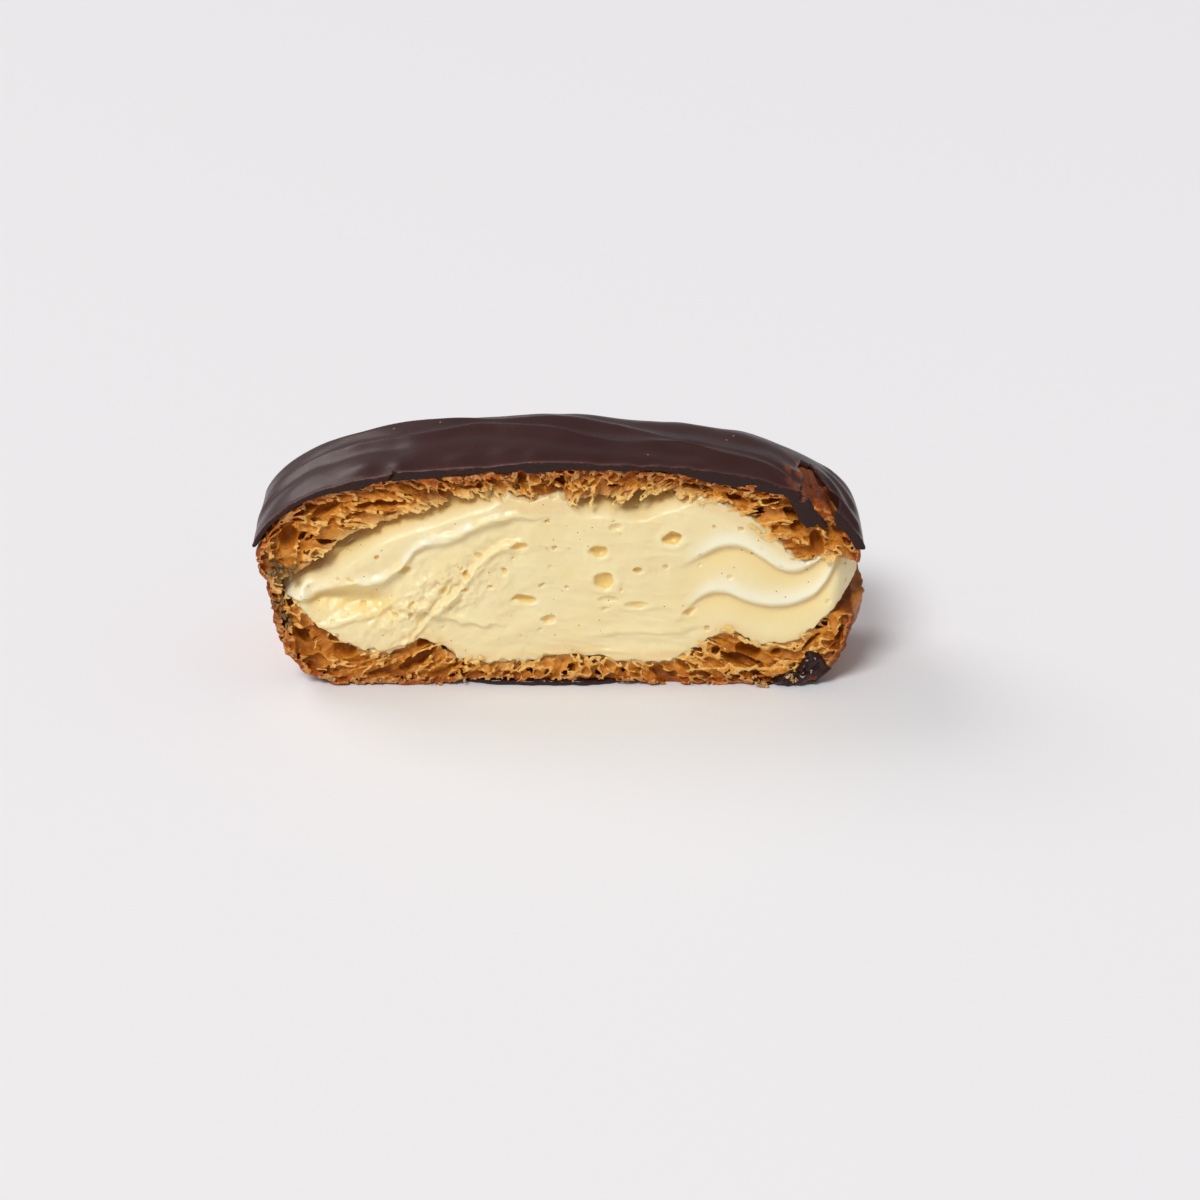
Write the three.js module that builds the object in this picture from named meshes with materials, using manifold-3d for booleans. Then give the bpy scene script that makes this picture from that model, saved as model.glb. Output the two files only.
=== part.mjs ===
// A chocolate eclair, filled with vanilla cream and cut lengthwise so that one long face shows the inside.
// Millimetres, +Z up. +X runs along the eclair, and the cut face looks towards -Y.
// The origin is under the middle of the object, on the surface that it rests on.
import * as THREE from "three";
import { mergeVertices } from "three/addons/utils/BufferGeometryUtils.js";
import Module from "manifold-3d";

// The whole eclair, before the knife took off its front.
const HALF_LENGTH = 66; // of the pastry, from the middle to either end
const HALF_WIDTH = 26.8; // of the pastry, at its belt
const SPINE_Y = -5.7; // the middle line, where the crown is highest
const BELT_Z = 30; // height of the widest line
const CROWN_Z = 54.6; // top of the pastry
const LEFT_TUCK = 2.4; // how far the left end draws in below the belt
const BACK_TUCK = 2.6; // how far the back draws in below the belt
const SAG = 0.5; // how much of the underside is pressed flat
const RIGHT_DROOP = 1.4; // how much lower the crown is in its right half

const ROUND_SHOULDER = 1.25; // exponents of the dome's section
const SQUARE_SHOULDER = 0.6;

// The cut and the layers.
const CUT_Y = -22; // the plane of the cut face
const GAP = 0.3; // left between pieces that touch
const GLAZE = 1.3; // thickness of the chocolate
const GLAZE_EDGE_Z = 33.5; // lower edge of the chocolate
const FOLD = 0.7; // height of the waves that the chocolate set in
const ARCH = 1.9; // how far the middle of the underside stands off the plate
const ARCH_LEFT = -27;
const ARCH_RIGHT = 21;
const FILM = 0.8; // thickness of the chocolate under the arch

// The cream: the heights of its upper and lower edge in the cut face, from the left end to the right.
const CREAM_LEFT = -61.6;
const CREAM_RIGHT = 64.8;
const CREAM_MID_Z = 25;
const CREAM_HALF_WIDTH = 24.5;
const CREAM_SQUARENESS = 2.5; // exponent of its superelliptic section
const CREAM_TOP = [
  [-64, 24.4], [-58, 26.5], [-52, 31], [-45, 35.4], [-36, 38.3], [-30, 41], [-16, 44.8], [-4, 43.4],
  [10, 44.8], [26, 44.8], [36, 41], [46, 34.6], [53.5, 28.6], [58, 31], [67, 32],
];
const CREAM_BOTTOM = [
  [-64, 22.5], [-57, 17.2], [-48, 11], [-38, 8.8], [-30, 12.3], [-22, 8.2], [-10, 7], [3, 9.1],
  [15, 7.3], [28, 8.8], [36, 14], [46, 10.5], [53, 11.2], [60, 16.6], [67, 23],
];

// The two furrows between the rolls of piped cream at the right end.
const ROLLS_FROM = 27;
const UPPER_FURROW = [[27, 30], [38, 32.4], [45.5, 28.4], [50, 25.8], [55, 28], [66, 33]];
const LOWER_FURROW = [[27, 21], [36, 21.5], [45.5, 18.7], [51, 18.6], [55, 20.6], [58.7, 25], [66, 38]];
const FURROW_DEPTH = 3;
const FURROW_WIDTH = 2.4;

// Large air holes that the cut opened: middle in the cut face, half width, half height, tilt in degrees.
const LID_HOLES = [
  { x: -58.6, z: 33.2, across: 2.3, high: 3.9, tilt: -28 },
  { x: -49.5, z: 41.2, across: 4.6, high: 1.7, tilt: 32 },
  { x: -38.5, z: 43.2, across: 6.2, high: 1.3, tilt: 8 },
  { x: 36.2, z: 44.2, across: 4.4, high: 1.2, tilt: -16 },
  { x: 56.4, z: 33.2, across: 1.9, high: 3.4, tilt: 14 },
];
const BASE_HOLES = [
  { x: -52.6, z: 10.3, across: 1.5, high: 3.2, tilt: 32 },
  { x: -46.4, z: 7.4, across: 3.2, high: 1.9, tilt: -4 },
  { x: 42.4, z: 7.6, across: 3.4, high: 2.3, tilt: -24 },
  { x: 56.2, z: 10.4, across: 3.1, high: 0.9, tilt: 38 },
];
const HOLE_DEPTH = 5;

// Chocolate on the base: a drip at the right corner, and a point on the film under the arch.
const DRIP_OUTLINE = [
  [46.8, 0.7], [50, 3], [54.2, 6.6], [55.9, 7.8], [56.9, 6.4], [58.7, 4.2], [57, 2.2], [52, 0.6],
];
const DRIP_DEPTH = 4.2; // behind the cut
const DRIP_BEVEL = 0.4; // how far its rounded face stands in front of the cut
const POINT_X = -19.4;

// The bare patch in the chocolate near the right end, seen from above.
const PATCH_OUTLINE = [
  [52, -30], [52.6, -19], [52.4, -12], [54, -3.5], [57, -3], [59.2, -9], [60.6, -16], [58, -30],
];

const wasm = await Module();
wasm.setup();

// Triangles: how finely the rounded bodies are divided, and how far the finished surfaces may stray from that.
const LOAF_GRID = [30, 38]; // around, along
const CREAM_GRID = [26, 40];
const SIMPLIFY = 0.1;

// A geometry's triangles as a solid that can be cut and joined.
function solidOf(geometry) {
  const bare = geometry.clone();
  bare.deleteAttribute("normal");
  bare.deleteAttribute("uv");
  const merged = mergeVertices(bare, 1e-3);
  return new wasm.Manifold(
    new wasm.Mesh({
      numProp: 3,
      vertProperties: merged.attributes.position.array,
      triVerts: new Uint32Array(merged.index.array),
    }),
  );
}

function geometryOf(solid) {
  const mesh = solid.getMesh();
  const geometry = new THREE.BufferGeometry();
  geometry.setAttribute("position", new THREE.BufferAttribute(mesh.vertProperties, 3));
  geometry.setIndex(new THREE.BufferAttribute(mesh.triVerts, 1));
  geometry.computeVertexNormals();
  return geometry;
}

// Moves every vertex of a geometry to where place(x, y, z) puts it.
function reshape(geometry, place) {
  const points = geometry.attributes.position;
  for (let i = 0; i < points.count; i++) {
    points.setXYZ(i, ...place(points.getX(i), points.getY(i), points.getZ(i)));
  }
  return geometry;
}

// A unit ball with its poles on the X axis.
function ball(around, along) {
  return new THREE.SphereGeometry(1, around, along).rotateZ(-Math.PI / 2);
}

// A smooth height over X, through hand-placed points.
function heightCurve(points) {
  const curve = new THREE.SplineCurve(points.map(([x, z]) => new THREE.Vector2(x, z)));
  const sampled = curve.getPoints(points.length * 12);
  return (x) => {
    const after = sampled.findIndex((p) => p.x >= x);
    if (after < 0) return sampled[sampled.length - 1].y;
    if (after === 0) return sampled[0].y;
    const [a, b] = [sampled[after - 1], sampled[after]];
    return THREE.MathUtils.mapLinear(x, a.x, b.x, a.y, b.y);
  };
}

const creamTop = heightCurve(CREAM_TOP);
const creamBottom = heightCurve(CREAM_BOTTOM);
const upperFurrow = heightCurve(UPPER_FURROW);
const lowerFurrow = heightCurve(LOWER_FURROW);
const step = (x, from, to) => THREE.MathUtils.smoothstep(x, from, to);
const bump = (x, middle, reach) => Math.exp(-(((x - middle) / reach) ** 2));

// How fast the crown falls away to the front: it is round left of the middle, and square-shouldered at both ends.
const frontShoulder = (x) => THREE.MathUtils.lerp(SQUARE_SHOULDER, ROUND_SHOULDER, bump(x, -24, 27));

// The waves along the top of the chocolate: two long ridges that drift across it, and a rounded front edge.
function foldHeight(x, y) {
  const frontRidge = bump(y, -14.5 + 0.035 * x + 1.6 * Math.sin(x / 17), 4.2);
  const backRidge = bump(y, 0.5 - 0.03 * x + 1.4 * Math.sin(x / 13 + 1), 4.6);
  const ripple = 0.35 * Math.sin(x / 6.5 + y / 5) * Math.sin(y / 7 - x / 19);
  return FOLD * (frontRidge + 0.8 * backRidge + ripple - 0.6);
}

// The whole pastry as one loaf, grown outwards by grow millimetres. Its top is a blunt dome, its bottom is flat.
function loaf(grow, folds = 0) {
  return reshape(ball(...LOAF_GRID), (t, across, up) => {
    const angle = Math.atan2(up, across);
    const [c, s] = [Math.abs(Math.cos(angle)), Math.abs(Math.sin(angle))];
    const side = Math.sign(across) * (up > 0 ? c ** 0.833 : c ** 0.4);
    const plan = (1 - Math.abs(t) ** 6) ** (1 / 6);
    let x = (HALF_LENGTH + grow) * t;
    let y = SPINE_Y + (HALF_WIDTH + grow) * plan * side;
    let z = BELT_Z;
    if (up > 0) {
      const crown = CROWN_Z + grow - BELT_Z - RIGHT_DROOP * step(x, -4, 18);
      const shoulder = side > 0 ? ROUND_SHOULDER : frontShoulder(x);
      z += crown * (1 - Math.abs(t) ** 2.8) ** 0.53 * s ** shoulder;
      z += folds * foldHeight(x, y) * step(z, BELT_Z + 4, BELT_Z + 14);
    } else {
      z -= (BELT_Z + SAG + grow) * Math.sqrt(1 - t ** 14) * s ** 0.4;
      const low = step(BELT_Z - z, 1, 12);
      if (t < 0) x += LEFT_TUCK * low * -t;
      if (side > 0) y -= BACK_TUCK * low * side;
    }
    return [x, y, z];
  });
}

// The cream before it is cut, grown outwards by grow millimetres.
function creamBody(grow) {
  const atCut = (CUT_Y - SPINE_Y) / CREAM_HALF_WIDTH;
  const shareAtCut = (1 - Math.abs(atCut) ** CREAM_SQUARENESS) ** (1 / CREAM_SQUARENESS);
  const power = 2 / CREAM_SQUARENESS;
  return reshape(ball(...CREAM_GRID), (t, across, up) => {
    const angle = Math.atan2(up, across);
    const [c, s] = [Math.abs(Math.cos(angle)), Math.abs(Math.sin(angle))];
    const x = THREE.MathUtils.mapLinear(t, -1, 1, CREAM_LEFT - grow, CREAM_RIGHT + grow);
    const close = (1 - Math.abs(t) ** 9) ** 0.4;
    const edge = up > 0 ? creamTop(x) : creamBottom(x);
    const reach = (edge - CREAM_MID_Z) / shareAtCut + Math.sign(up) * grow;
    const plan = (1 - Math.abs(t) ** 6) ** (1 / 6);
    const y = SPINE_Y + (CREAM_HALF_WIDTH + grow) * plan * Math.sign(across) * c ** power;
    return [x, y, CREAM_MID_Z + reach * close * s ** power];
  });
}

// A block that fills everything on one side of a wavy surface: sheet(a, b) gives the surface, over X and the other axis.
function blockInFront(sheet) {
  const [w, h] = [150, 70];
  const block = new THREE.BoxGeometry(w, 40, h, 60, 1, 28).translate(0, 0, h / 2 - 5);
  return reshape(block, (x, y, z) => [x, y > 0 ? sheet(x, z) : CUT_Y - 40, z]);
}

function blockUnder(sheet) {
  const block = new THREE.BoxGeometry(150, 70, 1, 50, 14, 1);
  return reshape(block, (x, y, z) => [x, y, z > 0 ? sheet(x, y) : -20]);
}

// How far the cream's front lies behind the cut: it sinks back under the lid, and rolls in folds at the right end.
function creamRelief(x, z) {
  const belowLid = creamTop(x) - z;
  const underLeft = 8 * bump(x, -36, 15) * (1 - step(belowLid, 0, 6.5));
  const underRight = 6 * bump(x, 17, 15) * (1 - step(belowLid, 0, 5.5));
  const furrows = Math.max(bump(z, upperFurrow(x), FURROW_WIDTH), bump(z, lowerFurrow(x), FURROW_WIDTH));
  const rolls = FURROW_DEPTH * step(x, ROLLS_FROM, ROLLS_FROM + 14) * furrows;
  const roundEnd = 9 * step(x, 55, 65) ** 2;
  const scoop = 2.2 * bump(x, -47, 8) * bump(z, 23 + 0.12 * (x + 47), 3.2);
  return underLeft + underRight + rolls + roundEnd + scoop;
}

function creamFilling() {
  const front = blockInFront((x, z) => CUT_Y + 0.2 + creamRelief(x, z));
  return solidOf(creamBody(0)).subtract(solidOf(front));
}

// The heights at which the knife that opened the eclair left the rim of the lid and of the base.
const lidRim = (x, y) => 28.6 - 3.9 * step(-x, 48, 62) + 1.2 * step(x, 50, 62) + 0.5 * Math.sin(x / 5 + y / 7);
const baseRim = (x, y) => 17.6 + 5.2 * step(-x, 50, 61) + 1.4 * step(x, 52, 64) * step(y, -20, -4) + 0.5 * Math.sin(x / 4.3 - y / 6);

function airHole({ x, z, across, high, tilt }) {
  const hole = new THREE.SphereGeometry(1, 10, 8).scale(across, HOLE_DEPTH, high);
  return solidOf(hole.rotateY(THREE.MathUtils.degToRad(-tilt)).translate(x, CUT_Y, z));
}

const cutOff = solidOf(new THREE.BoxGeometry(160, 40, 90).translate(0, CUT_Y - 20, 30));
const plate = solidOf(new THREE.BoxGeometry(160, 90, 10).translate(0, 0, -5));

function pastry() {
  return solidOf(loaf(0)).subtract(cutOff).subtract(plate).subtract(solidOf(creamBody(GAP)));
}

// The tongue of chocolate that ran down into the crack at the right end of the lid.
function tongue(grow) {
  const shape = new THREE.CapsuleGeometry(1.5 + grow, 5.2, 3, 8).rotateZ(0.55);
  return solidOf(shape.translate(53.9, CUT_Y + 1.2, 41.2));
}

function chouxLid() {
  let lid = pastry().subtract(solidOf(blockUnder(lidRim))).subtract(tongue(GAP));
  for (const hole of LID_HOLES) lid = lid.subtract(airHole(hole));
  return largest(lid);
}

function chouxBase() {
  const tall = new THREE.BoxGeometry(160, 90, 60, 50, 14, 1);
  const above = reshape(tall, (x, y, z) => [x, y, z > 0 ? 80 : baseRim(x, y)]);
  const arch = underArch(-1, (x) => ARCH * archShare(x));
  let base = pastry().subtract(solidOf(above)).subtract(arch).subtract(dripSolid(GAP));
  for (const hole of BASE_HOLES) base = base.subtract(airHole(hole));
  return largest(base);
}

// How much of the arch's full height there is at x.
const archShare = (x) => step(x, ARCH_LEFT, ARCH_LEFT + 3) * (1 - step(x, ARCH_RIGHT - 3, ARCH_RIGHT));

// A slab under the arch from z0 up to top(x), from the cut back to the middle of the base.
function underArch(z0, top) {
  const length = ARCH_RIGHT - ARCH_LEFT;
  const slab = new THREE.BoxGeometry(length, 22, 1, 32, 4, 1).translate((ARCH_LEFT + ARCH_RIGHT) / 2, CUT_Y + 10, 0);
  return solidOf(reshape(slab, (x, y, z) => [x, y, z > 0 ? top(x) + 1e-3 : z0]));
}

// The film of chocolate under the arch, with the point that touches the plate.
function smear() {
  const [from, to] = [ARCH_LEFT + 3.5, ARCH_RIGHT - 3.5];
  const slab = new THREE.BoxGeometry(to - from, 16, 1, 32, 8, 1).translate((from + to) / 2, CUT_Y + 8, 0);
  const shape = reshape(slab, (x, y, z) => {
    const ends = step(x, from, from + 4) * (1 - step(x, to - 5, to));
    const backEdge = 16 + 3 * Math.sin(x / 6) - 6 * (1 - ends);
    const depth = CUT_Y + 0.1 + ((y - CUT_Y) / 16) * backEdge;
    const top = ARCH - GAP;
    const point = bump(x, POINT_X, 1.6) * bump(depth, CUT_Y, 2.5) * (ARCH - GAP - FILM - 0.02);
    return [x, depth, z > 0 ? top : top - FILM * (0.4 + 0.6 * ends) - point];
  });
  return solidOf(shape);
}

// The drip on the base's right corner: a rounded outline, pushed back from the cut.
function dripSolid(grow) {
  const outline = new THREE.SplineCurve([...DRIP_OUTLINE, DRIP_OUTLINE[0]].map(([x, z]) => new THREE.Vector2(x, z)));
  const middle = new THREE.Vector2(53, 3.4);
  const points = outline.getPoints(32).slice(0, -1).map((p) => {
    const out = p.clone().sub(middle);
    return middle.clone().add(out.setLength(out.length() + grow));
  });
  const bevel = { bevelThickness: DRIP_BEVEL, bevelSize: DRIP_BEVEL / 2, bevelSegments: 2 };
  const depth = DRIP_DEPTH - DRIP_BEVEL + grow;
  const solid = new THREE.ExtrudeGeometry(new THREE.Shape(points), { depth, ...bevel });
  return solidOf(solid.rotateX(Math.PI / 2).translate(0, CUT_Y + depth, 0));
}

// The skin of chocolate: a shell over the loaf, open below its wavy edge, bare at the patch.
function chocolateGlaze() {
  const shell = solidOf(loaf(GAP + GLAZE, 1)).subtract(solidOf(loaf(GAP)));
  const edge = blockUnder((x, y) => GLAZE_EDGE_Z + 0.9 * Math.sin(x / 5.5) * step(y, -10, 4) + 0.7 * Math.sin(x / 2.9 + y / 3));
  const patchShape = new THREE.Shape(PATCH_OUTLINE.map(([x, y]) => new THREE.Vector2(x, y)));
  const patch = new THREE.ExtrudeGeometry(patchShape, { depth: 40, bevelEnabled: false }).translate(0, 0, 30);
  const skin = shell.subtract(solidOf(edge)).subtract(solidOf(patch)).subtract(cutOff);
  return largest(skin.add(tongue(0).subtract(cutOff)));
}

// The biggest body of a solid, without the specks that a cut can leave.
function largest(solid) {
  return solid.decompose().reduce((best, body) => (body.volume() > best.volume() ? body : best));
}

function material(color, roughness) {
  return new THREE.MeshStandardMaterial({ color, roughness, metalness: 0 });
}

const crust = material(0xc98a4a, 0.85);
const cream = material(0xf2e0b4, 0.5);
const chocolate = material(0x3b2623, 0.35);

const eclair = new THREE.Group();
const pieces = [
  ["choux_base", chouxBase, crust],
  ["cream_filling", creamFilling, cream],
  ["choux_lid", chouxLid, crust],
  ["chocolate_glaze", chocolateGlaze, chocolate],
  ["chocolate_drip", () => dripSolid(0), chocolate],
  ["chocolate_smear", smear, chocolate],
];
for (const [name, make, finish] of pieces) {
  const mesh = new THREE.Mesh(geometryOf(make().simplify(SIMPLIFY)), finish);
  mesh.name = name;
  eclair.add(mesh);
}

export default eclair;
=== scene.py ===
"""A chocolate eclair cut lengthwise: open choux crumb, torn vanilla cream and set chocolate.

Shapes are worked out in millimetres and made into meshes in metres. The cut face looks towards -Y.
"""

import functools
import math

import bpy
import numpy as np
import openvdb
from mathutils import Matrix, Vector


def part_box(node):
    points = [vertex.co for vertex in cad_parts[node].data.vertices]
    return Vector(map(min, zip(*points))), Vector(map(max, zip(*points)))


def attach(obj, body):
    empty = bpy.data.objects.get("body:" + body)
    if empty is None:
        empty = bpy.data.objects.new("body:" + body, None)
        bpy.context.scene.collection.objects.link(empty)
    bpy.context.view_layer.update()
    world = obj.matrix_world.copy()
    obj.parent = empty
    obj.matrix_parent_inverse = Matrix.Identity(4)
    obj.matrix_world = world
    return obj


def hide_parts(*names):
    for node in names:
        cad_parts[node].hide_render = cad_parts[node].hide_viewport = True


bl_info = {
    "name": "Chocolate Eclair",
    "version": (1, 0, 0),
    "blender": (4, 5, 0),
    "location": "3D View > Sidebar > Eclair",
    "description": "Builds the looks of a chocolate eclair that is cut lengthwise",
    "category": "Object",
}

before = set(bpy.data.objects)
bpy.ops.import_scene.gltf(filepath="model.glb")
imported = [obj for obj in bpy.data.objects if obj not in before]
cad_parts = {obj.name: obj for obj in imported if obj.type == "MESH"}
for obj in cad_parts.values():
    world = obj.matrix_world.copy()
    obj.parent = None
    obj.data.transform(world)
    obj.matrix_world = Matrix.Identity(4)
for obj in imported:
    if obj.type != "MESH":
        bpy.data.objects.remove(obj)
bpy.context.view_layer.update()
MM = 0.001


def box_mm(node):
    """The lowest and highest corner of a solid, in millimetres."""
    return [np.array(corner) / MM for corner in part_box(node)]


LID_LOW, LID_HIGH = box_mm("choux_lid")
BASE_LOW, BASE_HIGH = box_mm("choux_base")
CREAM_LOW, CREAM_HIGH = box_mm("cream_filling")
DRIP_LOW, DRIP_HIGH = box_mm("chocolate_drip")

# The whole loaf, before it was cut.
CUT_Y = LID_LOW[1]
HALF_LENGTH = LID_HIGH[0]
CROWN_Z = LID_HIGH[2]
HALF_WIDTH = 26.8
SPINE_Y = LID_HIGH[1] - HALF_WIDTH
BELT_Z = 30.0
SAG = 0.5
LEFT_TUCK = 2.4
BACK_TUCK = 2.6
RIGHT_DROOP = 1.4
ROUND_SHOULDER = 1.25
SQUARE_SHOULDER = 0.6
ARCH = 1.3
ARCH_LEFT = -27.0
ARCH_RIGHT = 21.0
ARCH_DEPTH = 21.0

# The cream, as it meets the cut face.
CREAM_MID_Z = 25.0
CREAM_HALF_WIDTH = CREAM_HIGH[1] - SPINE_Y
CREAM_SQUARENESS = 2.5
CREAM_TOP = [
    (-64, 24.4), (-58, 26.5), (-52, 31), (-45, 35.4), (-36, 38.3), (-30, 40.6), (-16, 43.7), (-4, 42.0),
    (10, 42.9), (26, 43.9), (36, 41), (46, 34.6), (53.5, 28.6), (58, 31), (67, 32),
]
CREAM_BOTTOM = [
    (-64, 22.5), (-57, 17.2), (-48, 11), (-38, 8.8), (-30, 12.3), (-22, 8.2), (-10, 7), (3, 9.1),
    (15, 7.3), (28, 8.8), (36, 14), (46, 10.5), (53, 11.2), (60, 16.6), (67, 23),
]

# Where the front of the cream starts to slope back under the lid.
TUCK_LINE = [
    (-64, 20), (-54, 24), (-46.4, 28.4), (-38.6, 33.2), (-27.7, 37.4), (-22.3, 39.4), (-12.5, 43.1), (-8, 47),
    (0, 46), (3, 41.6), (11, 39.8), (18, 38.9), (23.3, 40.8), (28.2, 42.6), (33, 46), (67, 50),
]

# Torn edges in the cream, from end to end.
UPPER_TEAR = [
    (-57, 21), (-49, 23.2), (-44, 24.4), (-35.3, 27.7), (-31, 32.4), (-22.4, 35.4), (-16, 38.9), (-10, 40),
]
MIDDLE_TEAR = [(-33, 10), (-31.2, 13.2), (-28.4, 16.8), (-21.5, 23.7), (-16.4, 30.3), (-11.4, 33.6), (-4, 35)]
LOWER_TEAR = [(-58, 12), (-46.9, 15.6), (-41.3, 17), (-35.6, 18.9), (-29, 18.4), (-20, 15.5), (-8, 14.5)]
KNIFE_STEP = [(8, 12.6), (15.6, 13.4), (22, 12.9), (27, 13.6), (34, 15.4)]

# The furrows between the rolls of piped cream at the right end.
UPPER_FURROW = [
    (26, 27), (30.7, 29.9), (35.3, 32.2), (39.8, 32.2), (44.2, 29.6), (48.2, 27), (52.5, 26.7), (55.5, 28.4),
    (60, 32), (66, 37),
]
LOWER_FURROW = [
    (26, 15), (28.7, 18.2), (32.4, 21), (36.1, 21.4), (41.2, 19.3), (47.5, 18.2), (52.8, 19.2), (57.2, 22.3),
    (59.7, 26.5), (62, 33), (66, 40),
]

# Air bubbles that the knife opened in the cream: x, z, half width, half height, depth, tilt in degrees.
CREAM_BUBBLES = [
    (-8.5, 33.3, 2.1, 0.9, 1.2, 4), (-7.6, 20.8, 2.6, 1.0, 1.3, -6), (-2.4, 16.1, 1.5, 0.9, 0.8, 10),
    (8.6, 32.2, 1.9, 1.45, 1.3, 0), (9.9, 25.3, 2.3, 1.8, 1.4, -12), (17.5, 27.8, 1.1, 0.75, 1.0, 0),
    (24.6, 35.2, 2.1, 1.6, 2.1, 8), (12.3, 37.8, 1.5, 0.9, 0.5, 0), (-2.4, 39.1, 1.1, 0.5, 0.7, 28),
    (17.1, 19.6, 2.7, 0.9, 0.7, -4), (11.0, 20.8, 2.2, 0.8, 0.5, 6), (-3.4, 24.1, 0.9, 0.6, 0.6, 20),
    (1.8, 23.7, 0.6, 0.4, 0.6, 0), (28.7, 17.7, 1.5, 0.7, 0.8, 24), (32.3, 13.9, 0.7, 0.7, 0.7, 0),
    (-33.4, 27.7, 1.6, 0.8, 0.8, 8), (-20.1, 26.7, 0.6, 1.3, 0.9, -12), (-25.2, 22.7, 1.5, 0.8, 0.8, 34),
    (-20.4, 23.2, 1.0, 0.6, 0.8, 24), (-17.2, 31.0, 0.8, 0.5, 0.7, 20), (-15.0, 23.7, 0.7, 0.5, 0.7, 10),
    (-32.1, 19.6, 0.6, 1.0, 0.8, -10), (-32.4, 17.3, 0.7, 0.9, 0.8, 12), (-36.1, 17.0, 1.1, 0.6, 0.7, -24),
    (-11.8, 27.4, 0.7, 0.9, 0.7, 0), (-43.0, 19.2, 0.7, 0.5, 0.5, 0), (-49.5, 15.6, 0.6, 0.5, 0.5, 20),
    (-45.6, 25.6, 0.9, 0.35, 0.6, -14), (-48.4, 25.9, 0.4, 0.35, 0.6, 0), (13.6, 23.2, 0.5, 0.4, 0.5, 0),
]

# Where the crumb ends at the left of the cut: z, and millimetres from the middle.
LEFT_END = [
    (0, 54.5), (2, 55.5), (4.4, 58), (6.4, 60), (9, 61.4), (14, 62.6), (19, 63.4), (22, 63.2), (25, 64),
    (28, 65), (31, 66), (34, 67), (60, 70),
]

# Large air holes in the crumb: x, z, half width, half height, depth, tilt in degrees.
LID_HOLES = [
    (-58.7, 35.0, 2.2, 3.3, 5.0, -24), (-50.2, 41.2, 4.4, 1.4, 4.5, 30), (-38.6, 42.7, 6.6, 0.9, 4.0, 4),
    (-48.8, 38.4, 1.0, 0.9, 3.0, 0), (-43.2, 40.6, 2.6, 0.7, 3.0, 18), (-53.4, 35.2, 0.9, 0.8, 2.5, 0),
    (-36.2, 40.2, 2.4, 0.6, 3.0, 12), (-20.0, 46.6, 2.6, 0.7, 3.0, 6), (-4.0, 46.9, 3.0, 0.6, 3.0, -4),
    (12.0, 46.8, 3.4, 0.6, 3.0, 0), (29.6, 46.6, 4.2, 0.9, 4.0, -8), (38.6, 44.0, 3.4, 0.9, 3.5, -22),
    (50.6, 40.3, 2.6, 1.3, 4.5, -34), (51.6, 37.4, 1.9, 1.5, 5.0, -20), (56.0, 33.8, 1.7, 3.0, 5.0, 10),
    (47.2, 37.2, 1.2, 0.7, 2.5, -30), (60.4, 36.6, 1.0, 1.6, 3.5, 40),
]
BASE_HOLES = [
    (-56.6, 11.6, 1.3, 3.2, 5.0, 34), (-47.4, 8.0, 3.0, 2.1, 5.0, -6), (-53.0, 6.6, 1.3, 0.9, 3.0, -30),
    (-60.0, 16.2, 0.8, 2.0, 4.0, 14), (-39.6, 9.2, 2.2, 0.8, 4.0, -4), (-28.4, 10.6, 3.6, 1.1, 5.0, 24),
    (-23.4, 7.6, 1.9, 0.7, 3.5, -30), (-12.0, 5.6, 1.6, 0.6, 2.5, 0), (8.2, 7.6, 3.4, 0.9, 4.0, -2),
    (20.5, 6.0, 2.2, 0.6, 2.5, 4), (41.8, 7.8, 3.2, 2.2, 5.5, -20), (48.0, 7.6, 1.5, 1.1, 4.0, 10),
    (55.4, 10.2, 3.2, 0.7, 4.0, 36), (34.6, 8.4, 1.2, 0.9, 3.0, 0), (61.6, 11.8, 0.8, 2.2, 3.5, -14),
]

# The strand of pastry that still joins the halves at the left: x, z, radius, half height.
STRAND = (-62.4, 22.5, 0.75, 4)

# The chocolate: its thickness beside the cut, and the mean that it comes back to behind it.
GLAZE_GAP = 0.1
GLAZE_EDGE_Z = 33.5
GLAZE_MEAN = 1.3
GLAZE_THICKNESS = [
    (-68, 0.9), (-50, 1.2), (-45, 1.7), (-36, 1.0), (-28, 1.3), (-15, 0.9), (-5, 1.5), (10, 1.2), (27, 1.3),
    (33, 2.3), (43, 2.2), (48, 1.7), (53, 1.3), (57, 1.6), (68, 2.4),
]

# Swellings where the chocolate ran up to the cut: x, y, height, half length, half width.
GLAZE_SWELLS = [
    (-58, -15, 0.35, 4, 3), (-42, -18.5, 0.45, 3.4, 2.4), (-34.3, -20.5, 0.4, 2.2, 2.0),
    (-21, -19.6, 0.4, 3.2, 2.0), (-11, -18.6, 0.45, 3.4, 2.4), (-5, -20, 0.35, 2.4, 1.8),
    (8, -19.4, 0.3, 3.6, 2.2), (19, -19, 0.3, 3.2, 2.2), (30.7, -19, 0.45, 3.6, 2.6),
    (43, -19.5, 0.35, 3.4, 2.4), (-50, -3, 0.4, 5, 4), (2, -6, 0.35, 6, 3),
    (48, -9, 0.5, 5, 3), (28, 1, 0.4, 7, 4), (40, -2, 0.9, 7, 6), (4, 4, 0.5, 9, 5),
]

# The two long folds in the chocolate: x, y.
MAIN_FOLD = [
    (-68, -12), (-60, -9), (-45, -8.2), (-31, -9.8), (-16, -7.6), (-4, -10.2), (5, -13), (23, -13.2),
    (33, -14.8), (42, -16), (54, -21), (68, -24),
]
HIGH_FOLD = [
    (-68, 2), (-40, 0.5), (-20, -1.8), (0, -3), (13, -5.1), (22, -8.2), (31, -9.2), (38, -11), (50, -14),
    (68, -17),
]

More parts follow.
